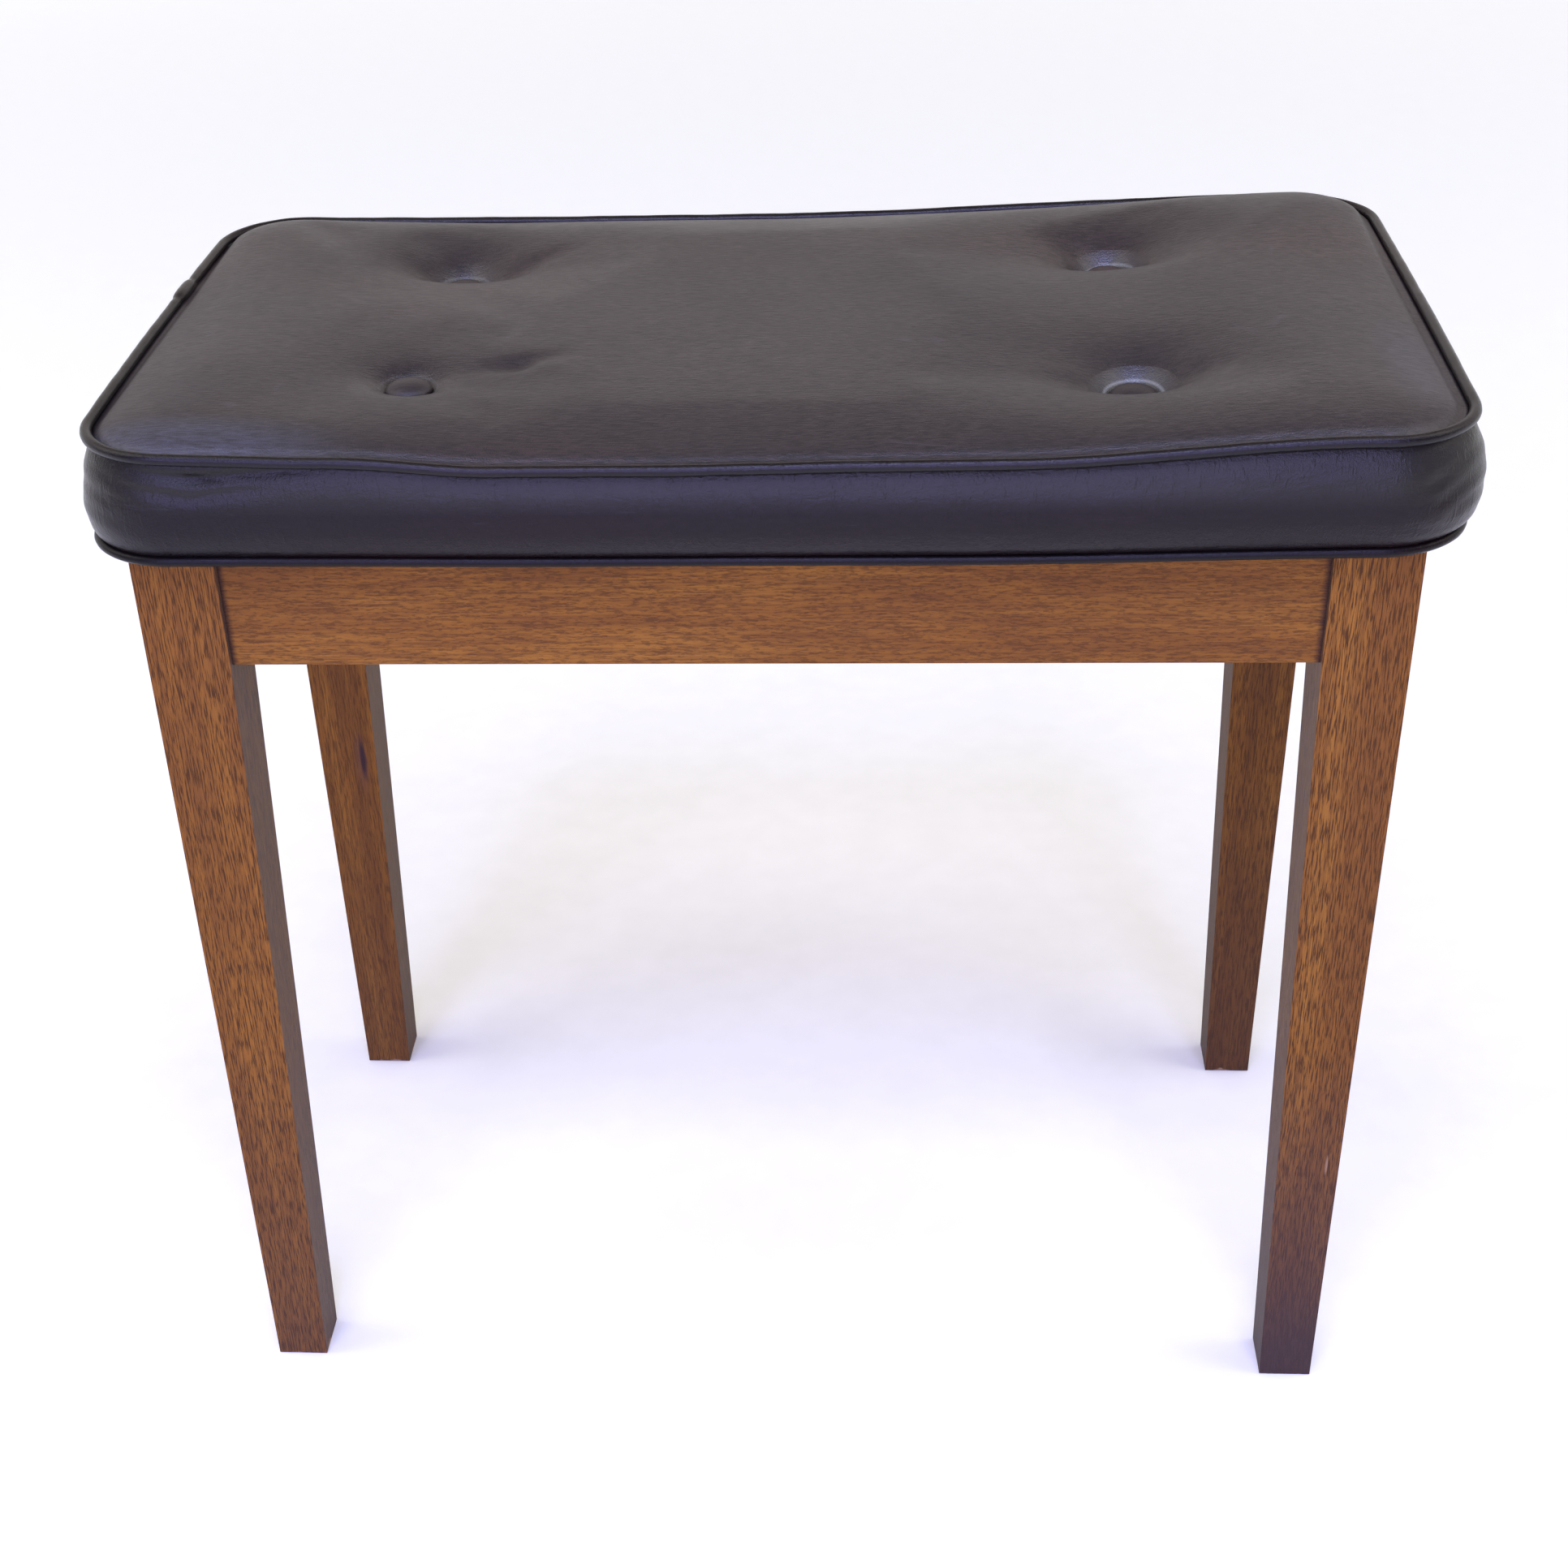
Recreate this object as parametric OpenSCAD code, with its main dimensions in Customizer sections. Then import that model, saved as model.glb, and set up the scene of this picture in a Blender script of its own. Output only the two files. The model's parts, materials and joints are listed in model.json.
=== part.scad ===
// Piano bench: a dowelled beech frame on four tapered legs, with a fixed, boxed and
// button-tufted seat. The origin is on the floor under the middle of the seat, +X runs
// along the long side, -Y is the front and +Z is up. All sizes are in millimetres.

/* [Seat] */
// Width of the seat along its top seam
seat_w = 562; // [520:2:620]
// Depth of the seat along its top seam
seat_d = 304; // [290:2:360]
// Corner radius of the top seam
seat_corner_r = 38; // [30:1:44]
// How far the top seam overhangs the legs on every side
overhang = 16; // [13:1:22]
// Height of the boxed side, from the frame to the top seam
boxing_h = 45; // [38:1:56]
// Rise of the top above its seam
crown_h = 8; // [4:1:12]
// How far the boxed side bulges
boxing_bulge = 7.5; // [3:0.5:7.5]
// Thickness of the plywood seat board
board_t = 12; // [9:1:15]

/* [Buttons] */
// Diameter of a covered button
button_d = 20; // [16:1:24]
// Distance of each button from the middle along the width
button_x = 152; // [110:1:170]
// Distance of each button from the middle along the depth
button_y = 74; // [50:1:80]
// Depth of the dimple that a button pulls into the top
dimple_depth = 18; // [10:1:20]

/* [Frame] */
// Height of the frame, from the floor to the top of the legs
frame_h = 460; // [400:2:520]
// Height of the aprons
apron_h = 54; // [50:1:80]
// Thickness of the aprons
apron_t = 20; // [18:1:24]
// How far the aprons sit back from the faces of the legs
apron_setback = 3; // [1:0.5:6]
// Side of a leg's square section beside the aprons
leg_top = 36; // [34:1:44]
// Side of a leg's square section at the floor
leg_foot = 25; // [20:0.5:34]

/* [Hidden] */
$fn = 64;

beech = [0.54, 0.35, 0.21];
pale_beech = [0.74, 0.58, 0.40];
plywood = [0.78, 0.64, 0.44];
vinyl = [0.27, 0.24, 0.25];
foam = [0.90, 0.84, 0.62];
twine = [0.82, 0.78, 0.66];
steel = [0.66, 0.66, 0.68];

FRONT = -1;
BACK = 1;
LEFT = -1;
RIGHT = 1;
CORNERS = [[LEFT, FRONT], [RIGHT, FRONT], [LEFT, BACK], [RIGHT, BACK]];

// A cutter's ends stand this far proud of the faces that they open
cut = 1;

// Outer size of the frame, and the inner faces of its aprons
frame_w = seat_w - 2 * overhang;
frame_d = seat_d - 2 * overhang;
apron_in_x = frame_w / 2 - apron_setback - apron_t;
apron_in_y = frame_d / 2 - apron_setback - apron_t;
apron_z = frame_h - apron_h;

// Dowels that join the aprons to the legs, two at each end of an apron
dowel_r = 4;
dowel_len = 30;
dowel_play = 0.05;
dowel_spacing = apron_h / 2;
dowel_chamfer = 1;

// Diagonal corner blocks: where their two long faces meet the aprons, and their height
block_near = 2 * (leg_top - apron_setback - apron_t) + 2;
block_far = block_near + 28;
block_h = 36;
block_drop = 2;
block_z = frame_h - block_drop - block_h;

// Pan-head wood screws
screw_r = 2;
screw_head_r = 3.8;
screw_head_h = 2.4;
screw_play = 0.1;
slot_w = 0.9;
slot_depth = 1.2;
block_screw_len = 20;
block_screw_seat = 8;
seat_screw_len = 42;
seat_screw_bite = 9;
counterbore_r = 5;

// Layers of the cushion, from the frame upwards
vinyl_t = 1.2;
margin_t = 1;
flange_t = 0.8;
board_z = frame_h + margin_t;
foam_z = board_z + board_t;
seam_z = frame_h + boxing_h;
crown_z = seam_z + flange_t + vinyl_t + crown_h;

// Outline offsets from the top seam, outward positive
seam_in = -2.1;
boxing_foot = -6.5;
boxing_head = -2.3;
bulge_lift = 1.2;
flange_in = -9;
foot_flange_in = -18;
crown_steps = 8;
boxing_steps = 12;

// Piping cords
top_cord_r = 2.4;
top_cord_out = 0.5;
foot_cord_r = 2;
foot_cord_out = -4;

// Underside margin of the cover and its staples
margin_in_x = apron_in_x - 14;
margin_in_y = apron_in_y - 14;
staple_in = 5;
staple_crown = 10;
staple_wire = [1.2, 0.7];
staple_leg = 8;
staples_long = 8;
staples_short = 4;
staple_end = 34;

// Buttons, their dimples and their twines
dimple_r = 30;
dimple_floor = crown_z - dimple_depth;
button_rim = 1.6;
button_dome = 3.6;
button_play = 0.3;
button_lift = dimple_r - sqrt(pow(dimple_r, 2) - pow(button_d / 2, 2)) + button_play;
button_z = dimple_floor + button_lift;
button_shank_r = 3;
button_shank_h = 1;
twine_r = 1;
twine_play = 0.5;
knot_r = 2.6;
knot_h = 2;
washer_r = 9;
washer_t = 1.2;

// Height profile of the top between the seam and the flat middle
function crown_rise(out, down) =
    crown_z - crown_h - down
    + crown_h * sin(90 * (seam_in - out) / (seat_corner_r + seam_in));

// Outer profile of the boxed side: an inclined line with a bulge near the top
function boxing_out(t) =
    boxing_foot + (boxing_head - boxing_foot) * t
    + boxing_bulge * sin(180 * pow(t, bulge_lift));

// Sampled points of the boxed side from one height share to another, moved inward by inset
function boxing_points(from, inset) = [
    for (i = [0 : boxing_steps])
        let (t = from + (1 - from) * i / boxing_steps)
        [boxing_out(t) - inset, board_z + (seam_z - board_z) * t]
];

// Sampled points of the top from the seam to the flat middle, lowered by down
function crown_points(down) = [
    for (i = [0 : crown_steps])
        let (out = seam_in - (seat_corner_r + seam_in) * i / crown_steps)
        [out, crown_rise(out, down)]
];

// Sweeps a profile round the seat: x is the distance outward from the top seam, y is height
module around_seat() {
    run_x = seat_w - 2 * seat_corner_r;
    run_y = seat_d - 2 * seat_corner_r;
    for (side = [0, 180]) {
        rotate([0, 0, side])
            translate([seat_w / 2, 0, 0])
                rotate([90, 0, 0])
                    linear_extrude(height = run_y, center = true) children();
        rotate([0, 0, side + 90])
            translate([seat_d / 2, 0, 0])
                rotate([90, 0, 0])
                    linear_extrude(height = run_x, center = true) children();
    }
    for (quarter = [0 : 3]) {
        turned = quarter % 2 == 1;
        rotate([0, 0, 90 * quarter])
            translate([(turned ? run_y : run_x) / 2, (turned ? run_x : run_y) / 2, 0])
                rotate_extrude(angle = 90) translate([seat_corner_r, 0]) children();
    }
}

// Rounded rectangle with its edge at the given distance outward from the top seam
module seat_outline(out) {
    r = seat_corner_r + out;
    w = seat_w + 2 * out;
    d = seat_d + 2 * out;
    square([w - 2 * r, d], center = true);
    square([w, d - 2 * r], center = true);
    for (c = CORNERS)
        translate([c[0] * (w / 2 - r), c[1] * (d / 2 - r)])
            circle(r = r);
}

// Middle of the cushion, inside the swept edges
module seat_middle(low, high) {
    translate([-(seat_w / 2 - seat_corner_r), -(seat_d / 2 - seat_corner_r), low])
        cube([seat_w - 2 * seat_corner_r, seat_d - 2 * seat_corner_r, high - low]);
}

// Space under the top's surface lowered by down, with a dimple at each button
module under_top(low, down) {
    difference() {
        union() {
            around_seat() polygon(concat(
                [[-seat_corner_r, low], [seam_in, low]],
                crown_points(down)
            ));
            seat_middle(low, crown_z - down);
        }
        at_buttons(dimple_floor + dimple_r) sphere(r = dimple_r + down, $fn = 96);
    }
}

// Copies of a shape at every button
module at_buttons(z) {
    for (c = CORNERS)
        translate([c[0] * button_x, c[1] * button_y, z]) children();
}

// A shape made for the back right corner, mirrored to any corner
module at_corner(corner) {
    mirror([corner[0] < 0 ? 1 : 0, 0, 0])
        mirror([0, corner[1] < 0 ? 1 : 0, 0])
            children();
}

// Side view of a leg in one direction, tapered on the inner face below the apron
module leg_side(outer) {
    polygon([
        [outer - leg_foot, 0],
        [outer, 0],
        [outer, frame_h],
        [outer - leg_top, frame_h],
        [outer - leg_top, apron_z]
    ]);
}

// Dowel-shaped rods at all eight apron ends, each as long as len
module dowel_rods(r, len, chamfer) {
    leg_in_x = frame_w / 2 - leg_top;
    leg_in_y = frame_d / 2 - leg_top;
    for (c = CORNERS)
        at_corner(c)
            for (up = [-0.5, 0.5])
                translate([0, 0, apron_z + apron_h / 2 + up * dowel_spacing]) {
                    translate([leg_in_x, frame_d / 2 - apron_setback - apron_t / 2, 0])
                        rotate([0, 90, 0]) rod(r, len, chamfer);
                    translate([frame_w / 2 - apron_setback - apron_t / 2, leg_in_y, 0])
                        rotate([90, 0, 0]) rod(r, len, chamfer);
                }
}

// Rod along Z about the origin, with chamfered ends
module rod(r, len, chamfer) {
    rotate_extrude()
        polygon([
            [0, -len / 2],
            [r - chamfer, -len / 2],
            [r, -len / 2 + chamfer],
            [r, len / 2 - chamfer],
            [r - chamfer, len / 2],
            [0, len / 2]
        ]);
}

module dowel_holes() {
    dowel_rods(dowel_r + dowel_play, dowel_len + cut, 0);
}

// Two screw places on each corner block, pointing into the aprons
module at_block_screws() {
    reach = (block_near + block_far) / 2;
    for (c = CORNERS)
        at_corner(c)
            translate([apron_in_x, apron_in_y, block_z + block_h / 2]) {
                translate([-reach, -block_screw_seat, 0]) rotate([-90, 0, 0]) children();
                translate([-block_screw_seat, -reach, 0]) rotate([0, 90, 0]) children();
            }
}

// One screw place on each corner block, pointing up into the seat board
module at_seat_screws() {
    inset = (block_near + block_far) / 4;
    for (c = CORNERS)
        at_corner(c)
            translate([
                apron_in_x - inset,
                apron_in_y - inset,
                board_z + seat_screw_bite - seat_screw_len
            ]) children();
}

// Wood screw pointing along +Z, with the underside of its head at the origin
module screw(len) {
    difference() {
        translate([0, 0, -screw_head_h]) cylinder(r = screw_head_r, h = screw_head_h);
        for (turn = [0, 90])
            rotate([0, 0, turn])
                translate([-screw_head_r * 0.6, -slot_w / 2, -screw_head_h - cut])
                    cube([screw_head_r * 1.2, slot_w, cut + slot_depth]);
    }
    cylinder(r = screw_r, h = len - screw_r * 2);
    translate([0, 0, len - screw_r * 2]) cylinder(r1 = screw_r, r2 = 0.3, h = screw_r * 2);
}

// Clearance for a screw's shank
module shank_hole(len) {
    cylinder(r = screw_r + screw_play, h = len);
}

// Clearance for a screw's head and for the driver behind it
module counterbore(depth) {
    translate([0, 0, -depth]) cylinder(r = counterbore_r, h = depth);
}

// Staple places under the cover's margin, with X along the edge of the seat
module at_staples() {
    reach_x = apron_in_x - staple_end;
    reach_y = apron_in_y - staple_end;
    for (side = [-1, 1]) {
        for (i = [0 : staples_long - 1])
            translate([
                reach_x * (2 * i / (staples_long - 1) - 1),
                side * (apron_in_y - staple_in),
                frame_h
            ]) children();
        for (i = [0 : staples_short - 1])
            translate([
                side * (apron_in_x - staple_in),
                reach_y * (2 * i / (staples_short - 1) - 1),
                frame_h
            ]) rotate([0, 0, 90]) children();
    }
}

// The two legs of a staple, grown by play on every side
module staple_legs(play) {
    for (side = [-1, 1])
        translate([
            side * (staple_crown - staple_wire[1]) / 2 - staple_wire[1] / 2 - play,
            -staple_wire[0] / 2 - play,
            0
        ]) cube([staple_wire[1] + 2 * play, staple_wire[0] + 2 * play, staple_leg + play]);
}

module leg(corner) {
    color(beech)
        difference() {
            at_corner(corner)
                intersection() {
                    translate([0, frame_d / 2, 0])
                        rotate([90, 0, 0])
                            linear_extrude(height = leg_top) leg_side(frame_w / 2);
                    translate([frame_w / 2, 0, 0])
                        rotate([90, 0, -90])
                            mirror([1, 0, 0])
                                linear_extrude(height = leg_top) leg_side(frame_d / 2);
                }
            dowel_holes();
        }
}

// Apron along X at the front or the back
module long_apron(side) {
    color(beech)
        difference() {
            translate([
                -(frame_w / 2 - leg_top),
                side * (apron_in_y + apron_t / 2) - apron_t / 2,
                apron_z
            ]) cube([frame_w - 2 * leg_top, apron_t, apron_h]);
            dowel_holes();
            at_block_screws() shank_hole(block_screw_len);
        }
}

// Apron along Y at the left or the right
module short_apron(side) {
    color(beech)
        difference() {
            translate([
                side * (apron_in_x + apron_t / 2) - apron_t / 2,
                -(frame_d / 2 - leg_top),
                apron_z
            ]) cube([apron_t, frame_d - 2 * leg_top, apron_h]);
            dowel_holes();
            at_block_screws() shank_hole(block_screw_len);
        }
}

module apron_dowels() {
    color(pale_beech) dowel_rods(dowel_r, dowel_len, dowel_chamfer);
}

// Diagonal block glued and screwed across the inside of a corner
module corner_block(corner) {
    color(pale_beech)
        difference() {
            at_corner(corner)
                translate([apron_in_x, apron_in_y, block_z])
                    linear_extrude(height = block_h)
                        polygon([
                            [-block_near, 0],
                            [-block_far, 0],
                            [0, -block_far],
                            [0, -block_near]
                        ]);
            at_block_screws() {
                shank_hole(block_screw_len);
                counterbore(block_far);
            }
            at_seat_screws() {
                shank_hole(seat_screw_len);
                counterbore(block_h);
            }
        }
}

module corner_block_screws() {
    color(steel) at_block_screws() screw(block_screw_len);
}

module seat_fixing_screws() {
    color(steel) at_seat_screws() screw(seat_screw_len);
}

module seat_board() {
    color(plywood)
        difference() {
            translate([0, 0, board_z])
                linear_extrude(height = board_t) seat_outline(boxing_foot - vinyl_t);
            at_buttons(board_z - cut) cylinder(r = twine_r + twine_play, h = board_t + 2 * cut);
            at_seat_screws() shank_hole(seat_screw_len);
            at_staples() staple_legs(0.05);
        }
}

// Foam on the board, up to the underside of the cover and the piping's flange
module foam_pad() {
    foot = board_t / (seam_z - board_z);
    color(foam)
        difference() {
            union() {
                around_seat() polygon(concat(
                    [[-seat_corner_r, foam_z]],
                    boxing_points(foot, vinyl_t),
                    [[-seat_corner_r, seam_z]]
                ));
                seat_middle(foam_z, seam_z);
                intersection() {
                    under_top(seam_z - cut, vinyl_t);
                    translate([0, 0, seam_z - cut])
                        linear_extrude(height = crown_h + 2 * cut + flange_t)
                            seat_outline(flange_in);
                }
            }
            at_buttons(dimple_floor + dimple_r)
                sphere(r = dimple_r + vinyl_t, $fn = 96);
            at_buttons(foam_z - cut)
                cylinder(r = twine_r + twine_play, h = crown_z - foam_z);
        }
}

module top_cover() {
    color(vinyl)
        difference() {
            under_top(seam_z + flange_t, 0);
            under_top(seam_z - cut, vinyl_t);
            at_buttons(seam_z - boxing_h / 2)
                cylinder(r = twine_r + twine_play, h = boxing_h);
        }
}

// Boxed side of the cover, from the lower seam to the top seam
module boxing_band() {
    outer = boxing_points(0, 0);
    inner = boxing_points(0, vinyl_t);
    color(vinyl)
        around_seat() polygon(concat(
            outer,
            [for (i = [boxing_steps : -1 : 0]) inner[i]]
        ));
}

module top_piping() {
    color(vinyl)
        around_seat() {
            translate([top_cord_out, seam_z + flange_t / 2]) circle(r = top_cord_r);
            translate([flange_in, seam_z]) square([top_cord_out - flange_in, flange_t]);
        }
}

module bottom_piping() {
    color(vinyl)
        around_seat() {
            translate([foot_cord_out, board_z]) circle(r = foot_cord_r);
            translate([foot_flange_in, frame_h])
                square([foot_cord_out - foot_flange_in, margin_t]);
        }
}

// Edge of the cover drawn under the board and stapled there
module cover_margin() {
    color(vinyl)
        difference() {
            translate([0, 0, frame_h])
                linear_extrude(height = margin_t)
                    difference() {
                        seat_outline(foot_flange_in);
                        square([2 * margin_in_x, 2 * margin_in_y], center = true);
                    }
            at_staples() translate([0, 0, -cut]) staple_legs(0.05);
        }
}

module cover_staples() {
    color(steel)
        at_staples() {
            translate([-staple_crown / 2, -staple_wire[0] / 2, -staple_wire[1]])
                cube([staple_crown, staple_wire[0], staple_wire[1]]);
            staple_legs(0);
        }
}

// Covered button with a domed face and a short shank
module button(corner) {
    r = button_d / 2;
    dome_r = (r * r + button_dome * button_dome) / (2 * button_dome);
    dome_angle = asin(r / dome_r);
    dome_steps = 8;
    color(vinyl)
        translate([corner[0] * button_x, corner[1] * button_y, button_z])
            rotate_extrude()
                polygon(concat(
                    [
                        [0, -button_shank_h],
                        [button_shank_r, -button_shank_h],
                        [button_shank_r, 0],
                        [r - button_rim / 2, 0],
                        [r, button_rim / 2]
                    ],
                    [for (i = [0 : dome_steps])
                        let (a = dome_angle * (1 - i / dome_steps))
                        [
                            dome_r * sin(a),
                            button_rim + button_dome - dome_r * (1 - cos(a))
                        ]
                    ]
                ));
}

// Twine from each button down through the foam and the board, with a knot under the washer
module button_twines() {
    top = button_z - button_shank_h;
    foot = board_z - washer_t;
    color(twine)
        at_buttons(foot) {
            cylinder(r = twine_r, h = top - foot);
            translate([0, 0, -knot_h]) cylinder(r = knot_r, h = knot_h);
        }
}

module button_washers() {
    color(steel)
        at_buttons(board_z - washer_t)
            difference() {
                cylinder(r = washer_r, h = washer_t);
                translate([0, 0, -cut])
                    cylinder(r = twine_r + twine_play, h = washer_t + 2 * cut);
            }
}

leg([LEFT, FRONT]);  // leg_front_left
leg([RIGHT, FRONT]);  // leg_front_right
leg([LEFT, BACK]);  // leg_back_left
leg([RIGHT, BACK]);  // leg_back_right
long_apron(FRONT);  // front_apron
long_apron(BACK);  // back_apron
short_apron(LEFT);  // left_apron
short_apron(RIGHT);  // right_apron
apron_dowels();
corner_block([LEFT, FRONT]);  // corner_block_front_left
corner_block([RIGHT, FRONT]);  // corner_block_front_right
corner_block([LEFT, BACK]);  // corner_block_back_left
corner_block([RIGHT, BACK]);  // corner_block_back_right
corner_block_screws();
seat_fixing_screws();
seat_board();
foam_pad();
top_cover();
boxing_band();
top_piping();
bottom_piping();
cover_margin();
cover_staples();
button([LEFT, FRONT]);  // button_front_left
button([RIGHT, FRONT]);  // button_front_right
button([LEFT, BACK]);  // button_back_left
button([RIGHT, BACK]);  // button_back_right
button_twines();
button_washers();
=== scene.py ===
"""Piano bench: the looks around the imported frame. Metres, +Z up, the front faces -Y."""

import json
import math

import bpy
import numpy as np
from mathutils import Matrix, Vector, noise

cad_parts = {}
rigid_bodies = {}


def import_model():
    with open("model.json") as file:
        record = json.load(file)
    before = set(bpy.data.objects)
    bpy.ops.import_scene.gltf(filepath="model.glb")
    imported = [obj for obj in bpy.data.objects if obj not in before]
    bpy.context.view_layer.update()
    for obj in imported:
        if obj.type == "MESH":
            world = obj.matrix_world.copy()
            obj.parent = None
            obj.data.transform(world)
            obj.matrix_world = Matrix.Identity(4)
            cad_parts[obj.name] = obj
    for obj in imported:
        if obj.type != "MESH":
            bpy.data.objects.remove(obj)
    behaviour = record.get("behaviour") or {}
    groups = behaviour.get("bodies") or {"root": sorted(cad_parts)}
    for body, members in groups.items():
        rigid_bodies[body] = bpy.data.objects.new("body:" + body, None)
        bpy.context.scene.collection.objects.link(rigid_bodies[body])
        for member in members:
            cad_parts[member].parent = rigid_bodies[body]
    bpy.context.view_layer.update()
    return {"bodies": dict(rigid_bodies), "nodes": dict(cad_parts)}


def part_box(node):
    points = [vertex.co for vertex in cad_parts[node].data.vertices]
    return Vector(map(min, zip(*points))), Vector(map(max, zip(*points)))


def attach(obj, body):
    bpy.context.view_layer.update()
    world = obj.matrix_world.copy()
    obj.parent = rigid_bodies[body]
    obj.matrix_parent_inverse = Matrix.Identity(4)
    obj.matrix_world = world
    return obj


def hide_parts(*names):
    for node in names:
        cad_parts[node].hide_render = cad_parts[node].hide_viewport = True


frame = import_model()
MM = 0.001
BODY = list(frame["bodies"])[0]


# ---------------------------------------------------------------- camera and light

CAMERA_AT = (0.0518, -0.9947, 0.8702)
CAMERA_YAW = 5.383
CAMERA_PITCH = 33.053
CAMERA_ROLL = -2.671
CAMERA_LENS = 53.28
CAMERA_SHIFT = (0.0497, 0.0487)


def make_camera():
    data = bpy.data.cameras.new("camera")
    data.lens = CAMERA_LENS
    data.sensor_width = 36
    data.shift_x, data.shift_y = CAMERA_SHIFT
    camera = bpy.data.objects.new("camera", data)
    bpy.context.scene.collection.objects.link(camera)
    turn = (
        Matrix.Rotation(math.radians(CAMERA_YAW), 4, "Z")
        @ Matrix.Rotation(math.radians(90 - CAMERA_PITCH), 4, "X")
        @ Matrix.Rotation(math.radians(CAMERA_ROLL), 4, "Z")
    )
    camera.matrix_world = Matrix.Translation(CAMERA_AT) @ turn
    bpy.context.scene.camera = camera


def soft_light(name, at, aim, size, power, colour):
    data = bpy.data.lights.new(name, "AREA")
    data.shape = "RECTANGLE"
    data.size, data.size_y = size
    data.energy = power
    data.color = colour
    light = bpy.data.objects.new(name, data)
    bpy.context.scene.collection.objects.link(light)
    facing = Vector(aim) - Vector(at)
    light.matrix_world = Matrix.Translation(at) @ facing.to_track_quat("-Z", "Y").to_matrix().to_4x4()


SKY_PALE = (0.95, 0.96, 1.0)
SKY_WARM = (1.0, 0.90, 0.87)
SKY_BLUE = (0.42, 0.50, 1.0)
SKY_STRENGTH = 0.24
SKY_GLOW = 0.66
SKY_SEEN = 0.95


def make_sky():
    """Lights from all round, warm and bright low at the back; the camera sees plain pale paper."""
    world = bpy.data.worlds.new("studio")
    world.use_nodes = True
    bpy.context.scene.world = world
    s = Shader("studio", world)
    toward = s.add("ShaderNodeTexCoord", {}).outputs["Generated"]
    _, y, z = s.add("ShaderNodeSeparateXYZ", {0: toward}).outputs
    back = s.spread(y, 0.0, 1.0, (-0.35, 0.35))
    low = s.spread(z, 1.0, 0.0, (0.52, 0.78))
    above = s.spread(z, 0.0, 1.0, (0.06, 0.20))
    tint = s.mix(back, SKY_BLUE, SKY_WARM)
    backdrop = world.node_tree.nodes["Background"]
    s.feed(backdrop.inputs["Color"], s.mix(above, SKY_PALE, tint))
    glow = s.math("MULTIPLY", s.math("MULTIPLY", back, low), SKY_GLOW)
    s.feed(backdrop.inputs["Strength"], s.math("ADD", glow, SKY_STRENGTH))
    plain = s.add("ShaderNodeBackground", {"Color": SKY_PALE, "Strength": SKY_SEEN}).outputs[0]
    seen = s.add("ShaderNodeLightPath", {}).outputs["Is Camera Ray"]
    shown = s.add("ShaderNodeMixShader", {0: seen, 1: backdrop.outputs[0], 2: plain}).outputs[0]
    s.feed(world.node_tree.nodes["World Output"].inputs["Surface"], shown)


# Each light: its name, place, aim, size, power and colour
WARM_LAMP = (1.0, 0.94, 0.87)
LIGHTS = (
    ("overhead_left", (-1.8, -0.2, 2.5), (0, 0, 0.2), (1.6, 2.8), 38, WARM_LAMP),
    ("overhead_right", (1.8, -0.2, 2.5), (0, 0, 0.2), (1.6, 2.8), 38, WARM_LAMP),
    ("front", (-0.3, -2.7, 1.42), (0, 0, 0.45), (3.2, 1.5), 102, (0.50, 0.45, 1.0)),
    ("front_high", (0.0, -1.5, 2.6), (0, 0, 0.5), (1.6, 0.9), 66, (0.52, 0.54, 1.0)),
)
FLOOR_SIZE = 40
FLOOR_DROP = 0.5 * MM
PAPER = ((0.92, 0.955, 0.84), (0.95, 0.985, 0.87))
PAPER_GLOW = (1.0, 1.0, 0.96)


def make_stage():
    make_sky()
    bpy.context.scene.view_settings.view_transform = "Standard"
    for light in LIGHTS:
        soft_light(*light)

    bpy.ops.mesh.primitive_plane_add(size=FLOOR_SIZE, location=(0, 0, -FLOOR_DROP))
    floor = bpy.context.object
    floor.name = "floor"
    paper = Shader("pale_floor")
    speck = paper.noise(paper.place((40, 40, 40)), 1, detail=4)
    paper.set("Base Color", paper.ramp(speck, [(0.3, PAPER[0]), (0.7, PAPER[1])]))
    paper.set("Roughness", 0.9)
    paper.set("Emission Color", PAPER_GLOW)
    paper.set("Emission Strength", paper.spread(paper.far(0, 0), 0.0, 0.62, (0.8, 4.0)))
    floor.data.materials.append(paper.material)


# ---------------------------------------------------------------- materials


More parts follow.
